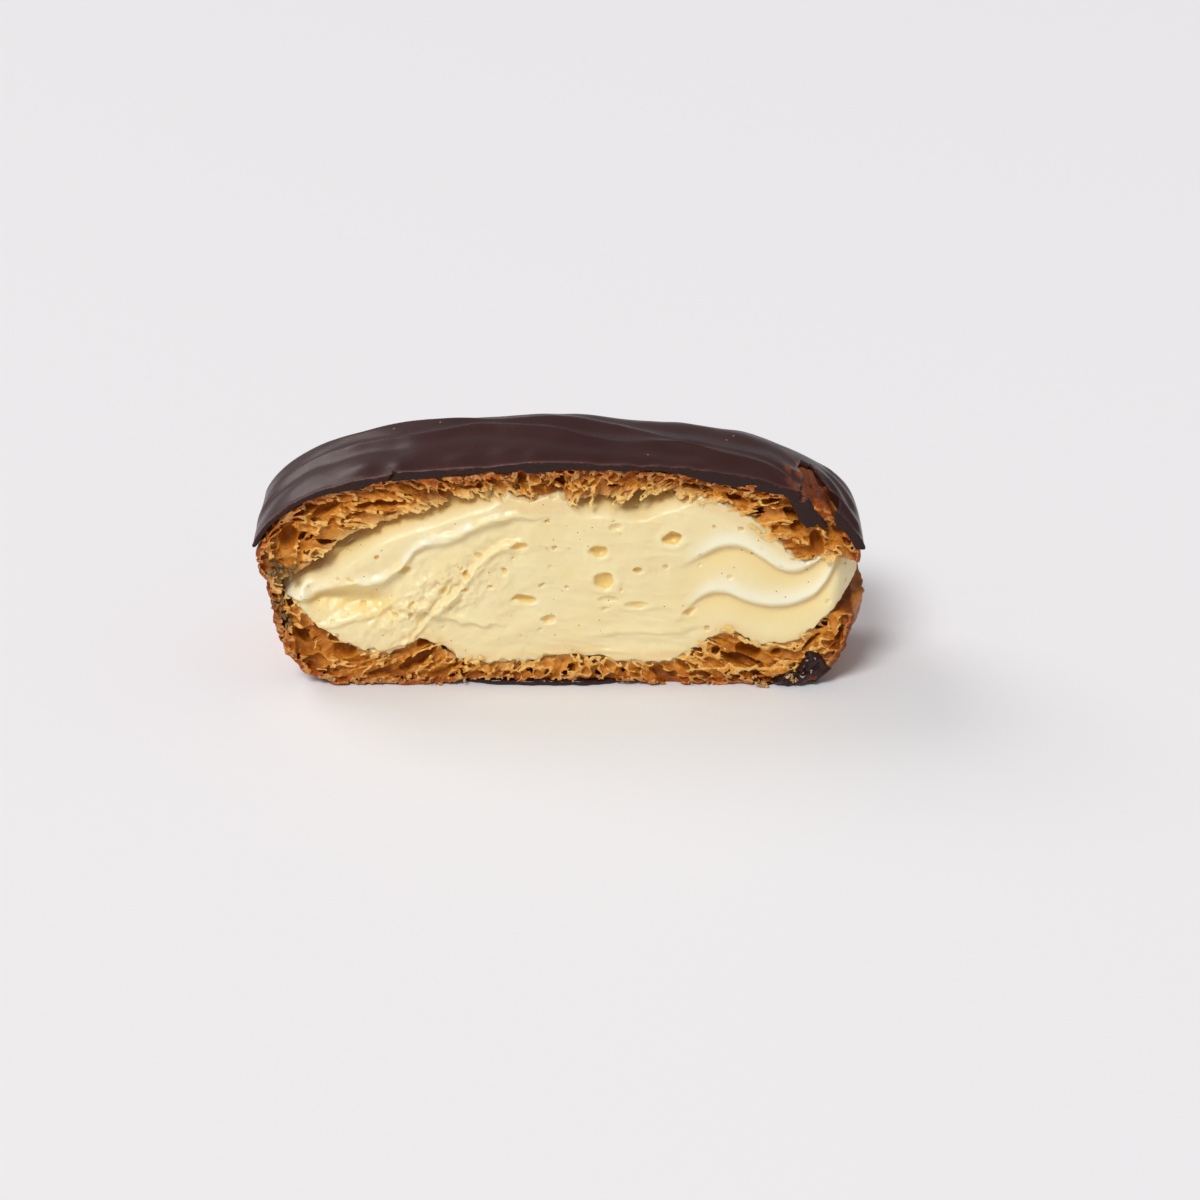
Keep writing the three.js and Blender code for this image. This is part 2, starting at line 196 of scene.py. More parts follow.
# The bare patch from above: x, y. The lump at the foot of the cut from the front: x, z.
PATCH_OUTLINE = [
    (51.6, -30), (51.8, -19), (51.8, -12), (53.2, -4.6), (55.6, -4), (58.4, -9), (60.2, -16), (57.8, -30),
]
DRIP_OUTLINE = [
    (43.6, 0.2), (47, 1.2), (50, 3.4), (53.1, 5.2), (55.3, 8.4), (57.2, 7.6), (60.4, 3.9), (56.5, 0.8),
    (49, 0.1),
]

# Heaps of loose crumbs on the chocolate: x, z. Heaps of nut flecks in the torn end: x, z, how many.
CRUMB_HEAPS = ((51.6, 2.2), (45.1, 0.7))
FLECK_HEAPS = ((-62.6, 29.6, 9), (-61.8, 26.6, 9), (-58.2, 26.9, 8), (-61.2, 18.6, 8), (-60.0, 15.2, 8))

# How finely the shapes are sampled, in millimetres, and how fine a piece may be.
GROWTHS = (-12.0, -8.0, -5.0, -3.5, -2.4, -1.6, -1.0, -0.5, 0.0, 0.5, 1.0, 1.6, 2.4, 3.5)
STEP = 0.25
FINE_DEPTH = 8.0
SKIN_BAND = 1.6
CREAM_BAND = 3.0
COARSEST = 0.9
GLAZE_COARSEST = 0.6
PIECE_TRIANGLES = 188000
SMALLEST_BIT = 2000
SMALLEST_FLAKE = 400

# Ratios stop just short of 1, and beyond the ends something large is added.
NEARLY_ONE = 0.9999
FAR = 9

# The sharpest angle that still looks smooth.
CRUMB_ANGLE = math.radians(55)
CHOCOLATE_ANGLE = math.radians(50)
FLECK_ANGLE = math.radians(30)

# What is drawn at random. Each noise has a number of its own, so that no two look alike.
LID_SEED = 1000
BASE_SEED = 2000
CRUMBS_SEED = 61

# Where the camera stands, in metres, and how far it is turned up from looking straight down, in degrees.
CAMERA_PLACE = (0.009018, -0.590847, 0.264638)
CAMERA_TILT = 66.8
FLOOR_SIZE = 40


# ---------------------------------------------------------------- numbers


def ease(x, start, end):
    """Rises smoothly from 0 at start to 1 at end."""
    t = np.clip((x - start) / (end - start), 0, 1)
    return t * t * (3 - 2 * t)


def hump(x, middle, reach):
    """A smooth hump of height 1."""
    return np.exp(-(((x - middle) / reach) ** 2))


def largest(*values):
    """The largest of several values, point by point."""
    return functools.reduce(np.maximum, values)


def between(x, start, full, fading, end):
    """Rises from 0 at start to 1 at full, and falls from 1 at fading to 0 at end."""
    return ease(x, start, full) * (1 - ease(x, fading, end))


def curve_through(points):
    """A smooth height over x through given points, level beyond its ends."""
    xs, zs = np.array(points, dtype=np.float64).T
    slopes = np.gradient(zs, xs)

    def height(x):
        x = np.clip(x, xs[0], xs[-1])
        i = np.clip(np.searchsorted(xs, x) - 1, 0, len(xs) - 2)
        span = xs[i + 1] - xs[i]
        t = (x - xs[i]) / span
        start = (1 + 2 * t) * (1 - t) ** 2 * zs[i] + t * (1 - t) ** 2 * span * slopes[i]
        end = t * t * (3 - 2 * t) * zs[i + 1] + t * t * (t - 1) * span * slopes[i + 1]
        return start + end

    return height


cream_top = curve_through(CREAM_TOP)
cream_bottom = curve_through(CREAM_BOTTOM)
tuck_line = curve_through(TUCK_LINE)
upper_tear = curve_through(UPPER_TEAR)
middle_tear = curve_through(MIDDLE_TEAR)
lower_tear = curve_through(LOWER_TEAR)
knife_step = curve_through(KNIFE_STEP)
upper_furrow = curve_through(UPPER_FURROW)
lower_furrow = curve_through(LOWER_FURROW)
left_end = curve_through(LEFT_END)
glaze_thickness = curve_through(GLAZE_THICKNESS)
main_fold = curve_through(MAIN_FOLD)
high_fold = curve_through(HIGH_FOLD)

LATTICE = 64


def noise(p, size, seed):
    """Smooth noise from -1 to 1 at the coordinates in p, with features about size millimetres across."""
    table = np.random.default_rng(seed).random((LATTICE,) * 3, dtype=np.float32) * 2 - 1
    cells, blends = [], []
    for c in np.broadcast_arrays(*p):
        c = c / size
        whole = np.floor(c)
        t = (c - whole).astype(np.float32)
        cells.append(whole.astype(np.int32))
        blends.append(t * t * (3 - 2 * t))
    total = np.zeros(cells[0].shape, dtype=np.float32)
    for corner in np.ndindex(2, 2, 2):
        weight = 1.0
        for t, k in zip(blends, corner):
            weight = weight * (t if k else 1 - t)
        index = tuple((c + k) % LATTICE for c, k in zip(cells, corner))
        total += weight * table[index]
    return total


def layered_noise(p, size, seed, layers=3):
    """Noise with finer and fainter noise on top."""
    total = sum(noise(p, size / 2.1**k, seed + k) / 2**k for k in range(layers))
    return total / (2 - 0.5 ** (layers - 1))


def bubbles(p, depth, size, seed, wall, share, reach):
    """How far inside an air bubble each point is, in millimetres; negative in the walls.

    Bubbles are about size across, with walls of about wall. Only a share of them is there, and only those
    whose middle lies less than reach behind the cut face, because deeper ones would never show. depth is
    how far each point itself lies behind it.
    """
    rng = np.random.default_rng(seed)
    jitter = rng.random((LATTICE,) * 3 + (3,), dtype=np.float32)
    girth = rng.random((LATTICE,) * 3, dtype=np.float32)
    there = rng.random((LATTICE,) * 3) < share
    q = [np.asarray(c, dtype=np.float32) / size for c in p]
    corner = [np.floor(c - 0.5).astype(np.int32) for c in q]
    nearest = np.full(q[0].shape, 9.0, dtype=np.float32)
    second = nearest.copy()
    open_cell = np.zeros(q[0].shape, dtype=bool)
    for offset in np.ndindex(2, 2, 2):
        cell = [c + k for c, k in zip(corner, offset)]
        index = tuple(c % LATTICE for c in cell)
        spot = [c + 0.1 + 0.8 * jitter[index + (k,)] for k, c in enumerate(cell)]
        gap = np.sqrt(sum((a - b) ** 2 for a, b in zip(q, spot))) - 0.5 - 0.35 * girth[index]
        middle_depth = depth + (spot[1] - q[1]) * size
        closer = gap < nearest
        second = np.where(closer, nearest, np.minimum(second, gap))
        open_cell = np.where(closer, there[index] & (middle_depth < reach), open_cell)
        nearest = np.minimum(nearest, gap)
    inside = np.minimum((second - nearest) * size / 2 - wall / 2, -nearest * size)
    return np.where(open_cell, inside, -1.0)


def holes_at(x, z, depth, holes):
    """How far inside one of the large holes each point is; negative outside them."""
    deepest = np.full(np.broadcast(x, z, depth).shape, -9.0, dtype=np.float32)
    for middle_x, middle_z, across, high, deep, tilt in holes:
        turn = math.radians(tilt)
        dx, dz = x - middle_x, z - middle_z
        u = (dx * math.cos(turn) + dz * math.sin(turn)) / across
        w = (dz * math.cos(turn) - dx * math.sin(turn)) / high
        inside = (1 - np.sqrt(u * u + w * w + (depth / deep) ** 2)) * min(across, high)
        deepest = np.maximum(deepest, inside)
    return deepest


# ---------------------------------------------------------------- the loaf, the cream and the samples


def front_shoulder(x):
    """The exponent of the dome's section in front: round left of the middle, square at both ends."""
    return SQUARE_SHOULDER + (ROUND_SHOULDER - SQUARE_SHOULDER) * hump(x, -24, 27)


def crown_height(x, grow):
    """How far the crown stands above the belt, over x, before it is rounded off at the ends."""
    return CROWN_Z + grow - BELT_Z - RIGHT_DROOP * ease(x, -4, 18)


def towards_end(x, middle, half):
    """How near x is to an end, kept just short of 1, and what to add to a ratio beyond the end."""
    end = np.abs(x - middle) / half
    return np.clip(end, 0, NEARLY_ONE), FAR * (end > NEARLY_ONE)


def loaf_ratio(x, y, z, grow):
    """1 on the surface of the whole pastry grown by some millimetres, less inside it."""
    low = ease(BELT_Z - z, 1, 12)
    end, beyond = towards_end(x, 0, HALF_LENGTH + grow - LEFT_TUCK * low * (x < 0))
    girth = HALF_WIDTH + grow - BACK_TUCK * low * (y > SPINE_Y)
    side = np.abs(y - SPINE_Y) / girth / (1 - end**6) ** (1 / 6)
    shoulder = np.where(y > SPINE_Y, ROUND_SHOULDER, front_shoulder(x))
    rise = np.clip(z - BELT_Z, 0, None) / crown_height(x, grow) / (1 - end**2.8) ** 0.53
    upper = (side**2.4 + rise ** (2 / shoulder)) ** (1 / 2.4)
    drop = np.clip(BELT_Z - z, 0, None) / (BELT_Z + SAG + grow) / np.sqrt(1 - end**14)
    lower = (side**5 + drop**5) ** (1 / 5)
    return np.where(z > BELT_Z, upper, lower) + beyond


def growth_distance(ratio_of, samples):
    """Millimetres outside something, found by growing and shrinking it through the samples."""
    distance = np.full([len(samples.x), len(samples.y), len(samples.z)], GROWTHS[0], dtype=np.float32)
    before = ratio_of(*samples.grid, GROWTHS[0]).astype(np.float32) - 1
    for low, high in zip(GROWTHS, GROWTHS[1:]):
        now = ratio_of(*samples.grid, high).astype(np.float32) - 1
        here = (before > 0) & (now <= 0)
        distance[here] = low + (high - low) * (before / np.maximum(before - now, 1e-6))[here]
        before = now
    return np.where(before > 0, GROWTHS[-1] + 0.5, distance)


def cream_ratio(x, y, z, grow):
    """1 on the surface of the uncut cream grown by some millimetres, less inside it."""
    middle = (CREAM_LOW[0] + CREAM_HIGH[0]) / 2
    end, beyond = towards_end(x, middle, (CREAM_HIGH[0] - CREAM_LOW[0]) / 2 + grow)
    cut_side = abs((CUT_Y - SPINE_Y) / CREAM_HALF_WIDTH)
    share_at_cut = (1 - cut_side**CREAM_SQUARENESS) ** (1 / CREAM_SQUARENESS)
    edge = np.where(z > CREAM_MID_Z, cream_top(x) - CREAM_MID_Z, CREAM_MID_Z - cream_bottom(x))
    reach = np.maximum(edge / share_at_cut + grow, 0.2) * (1 - end**9) ** 0.4
    side = np.abs(y - SPINE_Y) / (CREAM_HALF_WIDTH + grow) / (1 - end**6) ** (1 / 6)
    rise = np.abs(z - CREAM_MID_Z) / reach
    return (side**CREAM_SQUARENESS + rise**CREAM_SQUARENESS) ** (1 / CREAM_SQUARENESS) + beyond


class Samples:
    """Sample points in a block, close together near the cut face and further apart towards the back."""

    def __init__(self, low, high, coarsest=COARSEST):
        margin = 3 * STEP
        self.x = np.arange(low[0] - margin, high[0] + margin, STEP)
        self.z = np.arange(low[2] - margin, high[2] + margin, STEP)
        rows, gap = [CUT_Y - 1.5], STEP
        while rows[-1] < high[1] + 2 * coarsest:
            if rows[-1] > CUT_Y + FINE_DEPTH:
                gap = min(gap * 1.15, coarsest)
            rows.append(rows[-1] + gap)
        self.y = np.array(rows)
        self.axes = (self.x, self.y, self.z)
        self.grid = [c.astype(np.float32) for c in np.meshgrid(*self.axes, indexing="ij", sparse=True)]

    def nearest(self, places):
        """The index of the sample nearest to each row of x, y, z."""
        return tuple(np.rint(np.interp(places[:, k], axis, np.arange(len(axis)))).astype(int)
                     for k, axis in enumerate(self.axes))

    def at(self, spots):
        """The place in millimetres of each row of fractional indices."""
        return np.stack([np.interp(spots[:, k], np.arange(len(axis)), axis)
                         for k, axis in enumerate(self.axes)], axis=1)

    def points(self, mask):
        """The coordinates of the samples that a mask picks."""
        return [np.broadcast_to(c, mask.shape)[mask] for c in self.grid]


# ---------------------------------------------------------------- meshes


def deselect():
    """Leaves nothing selected."""
    for o in bpy.context.selected_objects:
        o.select_set(False)


def activate(piece):
    """Makes one object the only selected and active one."""
    deselect()
    piece.select_set(True)
    bpy.context.view_layer.objects.active = piece


def modify(piece, kind, **settings):
    """Adds a modifier and applies it at once."""
    activate(piece)
    modifier = piece.modifiers.new(kind.title(), kind)
    for key, value in settings.items():
        setattr(modifier, key, value)
    bpy.ops.object.modifier_apply(modifier=modifier.name)


def triangles_of(piece):
    """How many triangles a piece has."""
    return sum(len(face.vertices) - 2 for face in piece.data.polygons)


def places_of(piece):
    """A piece's vertices as rows of x, y, z, in millimetres."""
    flat = np.empty(len(piece.data.vertices) * 3, dtype=np.float32)
    piece.data.vertices.foreach_get("co", flat)
    return flat.reshape(-1, 3) / MM


def put_places(piece, places):
    """Moves a piece's vertices to rows of x, y, z in millimetres."""
    piece.data.vertices.foreach_set("co", (places * MM).astype(np.float32).ravel())
    piece.data.update()


def paint(piece, name, values):
    """Stores one number for each vertex, for the material to read."""
    attribute = piece.data.attributes.new(name, "FLOAT", "POINT")
    attribute.data.foreach_set("value", np.clip(values, 0, 1).astype(np.float32))


def solid_from_field(name, samples, outside, smallest=SMALLEST_BIT):
    """A closed mesh around the samples that aren't outside, thinned where it is smooth."""
    grid = openvdb.FloatGrid()
    grid.background = 2.0
    grid.copyFromArray(np.ascontiguousarray(np.clip(outside, -2, 2), dtype=np.float32))
    spots, quads = grid.convertToQuads(0.0)
    spots, quads = without_loose_bits(spots, quads.astype(np.int64), smallest)
    mesh = bpy.data.meshes.new(name)
    mesh.from_pydata(samples.at(spots) * MM, [], quads)
    piece = bpy.data.objects.new(name, mesh)
    bpy.context.scene.collection.objects.link(piece)
    ratio = PIECE_TRIANGLES / triangles_of(piece)
    if ratio < 1:
        modify(piece, "DECIMATE", ratio=ratio)
    return piece


def without_loose_bits(spots, quads, smallest):
    """The same mesh without the bits of fewer than smallest vertices that the holes cut off."""
    group = np.arange(len(spots))
    while True:
        before = group.copy()
        np.minimum.at(group, quads.ravel(), np.repeat(group[quads].min(axis=1), 4))
        group = group[group]
        if (group == before).all():
            break
    _, place, sizes = np.unique(group, return_inverse=True, return_counts=True)
    kept = ((sizes >= smallest) | (sizes == sizes.max()))[place]
    number = np.cumsum(kept) - 1
    return spots[kept], number[quads[kept[quads[:, 0]]]]


def finish_piece(piece, material, node, angle=math.pi):
    """Gives a piece its finish and its place in the frame."""
    activate(piece)
    if angle < math.pi:
        bpy.ops.object.shade_smooth_by_angle(angle=angle)
    else:
        bpy.ops.object.shade_smooth()
    piece.data.materials.clear()
    piece.data.materials.append(material)
    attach(piece, "root")
    if node:
        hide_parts(node)


# ---------------------------------------------------------------- crumb


def along_crust(x, z, height):
    """Millimetres along the crust as seen from the cut face, so that the crumb's cells can follow it."""
    half_degrees = 720
    angles = np.linspace(-math.pi, math.pi, half_degrees + 1)
    radius = (np.abs(np.cos(angles)) ** 2.6 + np.abs(np.sin(angles)) ** 2.6) ** (-1 / 2.6)
    rim_x = HALF_LENGTH * radius * np.cos(angles)
    rim_z = height * radius * np.sin(angles)
    length = np.concatenate([[0], np.cumsum(np.hypot(np.diff(rim_x), np.diff(rim_z)))])
    return np.interp(np.arctan2((z - BELT_Z) / height, x / HALF_LENGTH), angles, length)


def crumb_holes(p, skin, height, holes, seed):
    """How far inside a hole of the crumb each point is. skin is the depth below the crust."""
    x, y, z = p
    depth = y - CUT_Y
    wobble = [0.5 * layered_noise(p, 2.2, seed + k, 2) for k in range(2)]
    jagged = 0.2 * noise(p, 0.75, seed + 5) * (1 - ease(depth, 0.8, 2.2))
    cell = [along_crust(x, z, height) / 1.2 + wobble[0], y, skin * 1.05 + wobble[1]]
    patchy = layered_noise(p, 6, seed + 9, 2)
    spongy = np.maximum(ease(patchy, -0.15, 0.2), 1 - ease(skin, 1.4, 3.0))
    fine = bubbles(cell, depth, size=1.05, seed=seed + 20, wall=0.18, share=0.92, reach=0.6)
    medium = bubbles(cell, depth, size=2.0, seed=seed + 30, wall=0.22, share=0.97, reach=2.0)
    large = bubbles(cell, depth, size=3.9, seed=seed + 40, wall=0.28, share=0.5, reach=3.8)
    fine = fine - 0.3 * (1 - spongy)
    medium = medium - 0.5 * (1 - ease(skin, 0.5, 1.3))
    large = large - 0.9 * (1 - ease(skin, 1.2, 2.6))
    placed = holes_at(x + wobble[0], z + wobble[1], depth, holes)
    return largest(fine, medium, large, placed) + jagged


def crust_relief(p, seed):
    """How far the baked crust stands out: soft swellings, wrinkles and grain, with lumps beside the cut."""
    swell = 0.35 * layered_noise(p, 9, seed, 2)
    wrinkle = 0.2 * (1 - 2 * np.abs(layered_noise([p[0] / 1.6, p[1] / 1.6, p[2]], 3.6, seed + 3, 2)))
    lumps = (0.55 + 0.7 * ease(-p[0], 59, 64) - 0.4 * ease(p[0], 50, 60)) * layered_noise(p, 1.6, seed + 8, 2)
    lumps = lumps * (1 - ease(p[1] - CUT_Y, 1.0, 3.5))
    return swell + wrinkle + lumps + (0.2 + 0.2 * ease(p[0], 52, 58)) * layered_noise(p, 1.3, seed + 6, 2)


def ragged_end(p, seed):
    """How far beyond the torn left end of the cut each point is, in millimetres."""
    end = left_end(p[2]) + 1.6 * layered_noise(p, 1.7, seed, 2)
    return -p[0] - end - 0.12 * np.clip(p[1] - CUT_Y - 0.6, 0, None)


def torn_cut(p, seed):
    """How far behind the cut plane the torn crumb starts."""
    flat = [p[0], 0 * p[1], p[2]]
    layers = [p[0] / 2.5, 0 * p[1], p[2]]
    coarse = 0.35 + 0.7 * layered_noise(flat, 5, seed, 2)
    return coarse + 0.3 * noise(layers, 1.5, seed + 4) + 0.12 * noise(p, 0.8, seed + 5)


def crumb_solid(name, low, high, height, holes, body_of, seed):
    """A piece of choux pastry with its open crumb at the cut, and its tones, painted shade and painted
    highlights stored for the material.
    """
    room_to_bulge = 2.5
    samples = Samples(low, high + room_to_bulge)
    x, y, z = samples.grid
    skin = -growth_distance(loaf_ratio, samples)
    from_cream = growth_distance(cream_ratio, samples)
    body = body_of(x, y, z, skin, from_cream)
    outside = np.maximum(body, CUT_Y - y)
    near = np.abs(outside) < SKIN_BAND
    near |= (outside < 0.6) & (y < CUT_Y + FINE_DEPTH)
    p = samples.points(near)
    depth = p[1] - CUT_Y
    beside_cut = 1 - ease(depth, 1.0, 3.0)
    lining = (0.25 + 0.65 * beside_cut) * layered_noise(p, 2.4, seed + 50, 3)
    lining = lining + 0.5 * noise(p, 0.9, seed + 53) * beside_cut
    relief = crust_relief(p, seed + 60)
    trimmed = body[near] - np.where(skin[near] < from_cream[near] + 1.3, relief, lining)
    trimmed = largest(trimmed, torn_cut(p, seed + 70) - depth, ragged_end(p, seed + 90))
    front = depth < FINE_DEPTH - 0.5
    q = [c[front] for c in p]
    trimmed[front] = np.maximum(trimmed[front], crumb_holes(q, skin[near][front], height, holes, seed))
    stands_on_floor = low[2] < 1
    if stands_on_floor:
        trimmed = np.maximum(trimmed, (0.3 + 0.45 * noise(p, 1.4, seed + 80)) * beside_cut - p[2])
        outside = np.maximum(outside, -z)
    outside[near] = trimmed
    piece = solid_from_field(name, samples, outside)
    spots = places_of(piece).astype(np.float64)
    index = samples.nearest(spots)
    tone_crumb(piece, list(spots.T), skin[index], from_cream[index], height, holes, seed)
    return piece


def tone_crumb(piece, p, skin, from_cream, height, holes, seed):
    """Stores where the pastry is baked, creamy, deep in a hole (painted shade), at a hole's edge (painted
    highlight), and so on.
    """
    x, y, z = p
    behind = y - CUT_Y - torn_cut(p, seed + 70)
    rim = crumb_holes(p, skin, height, holes, seed)
    rim = np.maximum(rim, -0.5 * from_cream)
    paint(piece, "baked", 1 - ease(skin, 0.1, 5.0))
    paint(piece, "creamy", 1 - ease(from_cream, 0.0, 3.0))
    # Painted shade: the further a spot lies back in a hole, the darker the material paints it.
    paint(piece, "deep", ease(behind, 0.3, 3.4))
    # Painted highlight: a pale line along the torn edges of the cell walls.
    paint(piece, "edge", hump(np.clip(rim, -9, 0), 0, 0.16) * (1 - ease(behind, 0.1, 0.7)))
    rind = (1 - ease(skin, 0.35, 0.8)) * ease(x, 34, 48) * (1 - ease(behind, 1.0, 3.0)) * (z < 20)
    paint(piece, "rind", 0.85 * rind)
    bare = in_patch(x, y) * ease(z, 33, 37)
    torn_end = ease(-x, 44, 52) * (1 - ease(behind, 5.0, 12.0))
    outer = (1 - ease(skin, 0.0, 0.6)) * ease(behind, 0.6, 1.6) * (1 - bare) * (1 - torn_end)
    paint(piece, "outer", outer)
    smears = layered_noise([x, y / 2, z / 2], 2.0, 95, 3)
    paint(piece, "stained", bare * ease(smears, -0.05, 0.35))


def lid_body(x, y, z, skin, from_cream):
    """Outside of the lid, in millimetres."""
    rim = 28.6 - 3.9 * ease(-x, 48, 62) + 1.2 * ease(x, 50, 62) + 0.7 * np.sin(x / 5 + y / 7)
    streaks = noise([x + 0.35 * z, y / 3, z / 3], 1.1, 88)
    flap = in_patch(x, y) * (0.55 + 0.75 * streaks)
    return largest(-skin - flap, -from_cream, rim - z)


def in_patch(x, y):
    """1 in the bare patch of the lid, 0 elsewhere."""
    return between(x, 52.2, 53.6, 58.6, 60.4) * (1 - ease(y, -8, -3.5))


def base_body(x, y, z, skin, from_cream):
    """Outside of the base, in millimetres, with the strand that still joins it to the lid at the left."""
    rim = 17.6 + 5.2 * ease(-x, 50, 61) + 1.6 * ease(x, 52, 64) * ease(y, -20, -4)
    rim = rim + 0.6 * np.sin(x / 4.3 - y / 6)
    arch = ARCH * ease(x, ARCH_LEFT, ARCH_LEFT + 5) * (1 - ease(x, ARCH_RIGHT - 5, ARCH_RIGHT)) - z
    arch = np.minimum(arch, CUT_Y + ARCH_DEPTH - y)
    lined = -from_cream - 2.1 * ease(y - CUT_Y, 4, 10)
    bulge = 2.2 * ease(x, 50, 64) * ease(y, -19, -10) * ease(z, 5, 14)
    corner = 0.664 * (x - 60.9) - 0.747 * (z - 5.4) - 9 * (1 - ease(-y, 8, 14))
    shell = largest(-skin - bulge, lined, z - rim, arch, corner)
    strand_x, strand_z, radius, half_height = STRAND
    strand = np.hypot(x - strand_x + 0.5 * np.sin(z), y - CUT_Y - 1.4) - radius
    return np.minimum(shell, np.maximum(strand, np.abs(z - strand_z) - half_height))


# ---------------------------------------------------------------- cream


def tear(x, z, line, up, reach, side=-1):
    """A torn edge along a line: proud by up at the edge, and sunk below it, or above it for side 1."""
    v = (z - line(x)) * side
    crest = up * hump(v, -0.4, 1.1)
    hollow = up * np.where(v > 0, np.exp(-v / reach) * ease(v, 0.1, 1.2), 0)
    return hollow - crest


def roll_furrow(x, z, line, deep):
    """The furrow under a roll of piped cream: the next roll comes out from behind it."""
    v = z - line(x)
    under = np.where(v > 0, np.exp(-((v / 1.0) ** 2)), np.exp(-((np.abs(v) / 4.2) ** 1.2)))
    return deep * under - 0.4 * hump(v, 1.3, 1.5)


def turned(x, z, degrees, along, across):
    """Coordinates stretched along a direction, so that noise in them runs that way."""
    c, s = math.cos(math.radians(degrees)), math.sin(math.radians(degrees))
    return [(x * c + z * s) / along, (z * c - x * s) / across, 0 * x]


def scoop(x, z, middle, reach):
    """1 in the long hollow near the left end of the cream, 0 elsewhere."""
    return hump(z, middle - 0.12 * (x + 50), reach) * ease(x, -57, -53) * (1 - ease(x, -42, -32))


def cream_front(x, z):
    """How far the front of the cream lies behind the cut plane."""
    p = [x, z, 0 * x]
    left, rolls = 1 - ease(x, -14, 2), ease(x, 25, 34)
    middle = (1 - rolls) * ease(x, -14, 2)
    torn = hump(x, -27, 13) * hump(z, 21 + 0.55 * (x + 27), 6.5)
    shape = 0.45 + 0.3 * layered_noise(p, 13, 301, 2) * (1 - 0.6 * rolls)
    slope = np.clip(z - tuck_line(x), 0, None)
    shape = shape + 0.95 * slope**1.25 * np.where(x < -6, 0.8, 1.15)
    wander = 0.7 * layered_noise(p, 2.4, 303, 2)
    upper_z = z + 0.8 * layered_noise(p, 3.0, 302, 2)
    shape = shape + left * tear(x, upper_z, upper_tear, up=1.0, reach=3.4)
    risen = tear(x, z + wander, middle_tear, up=0.9, reach=2.4, side=1)
    shape = shape + between(x, -36, -31, -12, -5) * risen
    shape = shape + (1 - ease(x, -16, -9)) * tear(x, z + wander, lower_tear, up=0.6, reach=2.4)
    shape = shape + 2.4 * scoop(x, z, 21.0, 3.1)
    shape = shape + between(x, 6, 12, 29, 34) * tear(x, z + 0.5 * wander, knife_step, up=0.35, reach=3.0)
    shape = shape + rolls * roll_furrow(x, z, upper_furrow, deep=1.5)
    shape = shape + rolls * roll_furrow(x, z, lower_furrow, deep=1.5)
    shape = shape + 10 * ease(x, 56.5, 67) ** 2 + 3.5 * ease(-x, 55, 62)
    shape = shape + 3.2 * hump(np.hypot((x + 52.6) / 3.4, (z - 28.2) / 2.2), 0, 1.0)
    for middle_x, middle_z, across, high, _, _ in CREAM_BUBBLES:
        ring = np.hypot((x - middle_x) / across, (z - middle_z + 0.25) / high)
        shape = shape - 0.16 * min(across, high) * hump(ring, 1.35, 0.35)
    strokes = layered_noise(turned(x, z, 28, 5.0, 1.0), 3.2, 304, 2)
    shape = shape - 0.55 * left * strokes
    steep = 1 - 2.4 * np.abs(layered_noise(turned(x, z, 50, 1.7, 1.0), 2.0, 306, 3))
    shape = shape - 0.9 * torn * np.clip(steep, -0.7, 1)
    drag = layered_noise(turned(x, z, -4, 7.0, 1.0), 1.3, 308, 2)
    shape = shape + middle * (0.2 + 0.25 * (1 - ease(z, 10, 20))) * drag
    return shape + (1 - 0.8 * rolls) * (0.14 * layered_noise(p, 1.6, 305, 2) + 0.25 * noise(p, 5.5, 309))


def cream_holes(p, front):
    """How far inside an air bubble of the cream each point is."""
    depth = p[1] - CUT_Y - front
    wobble = [0.45 * noise(p, 1.5, 320 + k) for k in range(2)]
    opened = holes_at(p[0] + wobble[0], p[2] + wobble[1], depth, CREAM_BUBBLES)
    tiny = bubbles(p, depth, 1.6, 330, 0.5, 0.07, 0.3) - 0.12
    return np.maximum(opened, tiny)


def cream_solid():
    """The vanilla cream, with its torn front, bubbles and rolls, and its painted shade and painted highlights
    stored for the material.
    """
    samples = Samples(CREAM_LOW - 1.5, CREAM_HIGH + 1.0)
    x, y, z = samples.grid
    depth = y - CUT_Y
    body = growth_distance(cream_ratio, samples) - 0.5
    body = body + 2.2 * ease(depth, 4, 10) * (1 - ease(z, 14.5, 17.5))
    body = body - 0.7 * (1 - ease(depth, 3, 8)) * ease(z, 24, 30) - 0.9 * ease(x, 57, 64) * hump(z, 29, 8)
    flat_x, flat_z = np.broadcast_arrays(x[:, 0, :], z[:, 0, :])
    front = cream_front(flat_x, flat_z)[:, None, :]
    before_front = CUT_Y + front - y
    outside = np.maximum(body, before_front)
    near = np.abs(outside) < CREAM_BAND
    p = samples.points(near)
    ragged = 1.0 * layered_noise(p, 3.0, 340, 3) + 0.5 * noise(p, 1.1, 344)
    ragged = ragged * (1 - ease(p[1] - CUT_Y, 2, 8)) + 0.15 * noise(p, 3.5, 345)
    opened = cream_holes(p, np.broadcast_to(front, near.shape)[near])
    outside[near] = largest(body[near] - ragged, before_front[near], opened)
    piece = solid_from_field("vanilla_cream", samples, outside)
    spots = places_of(piece).astype(np.float64)
    i, _, k = samples.nearest(spots)
    tone_cream(piece, list(spots.T), front[i, 0, k])
    return piece


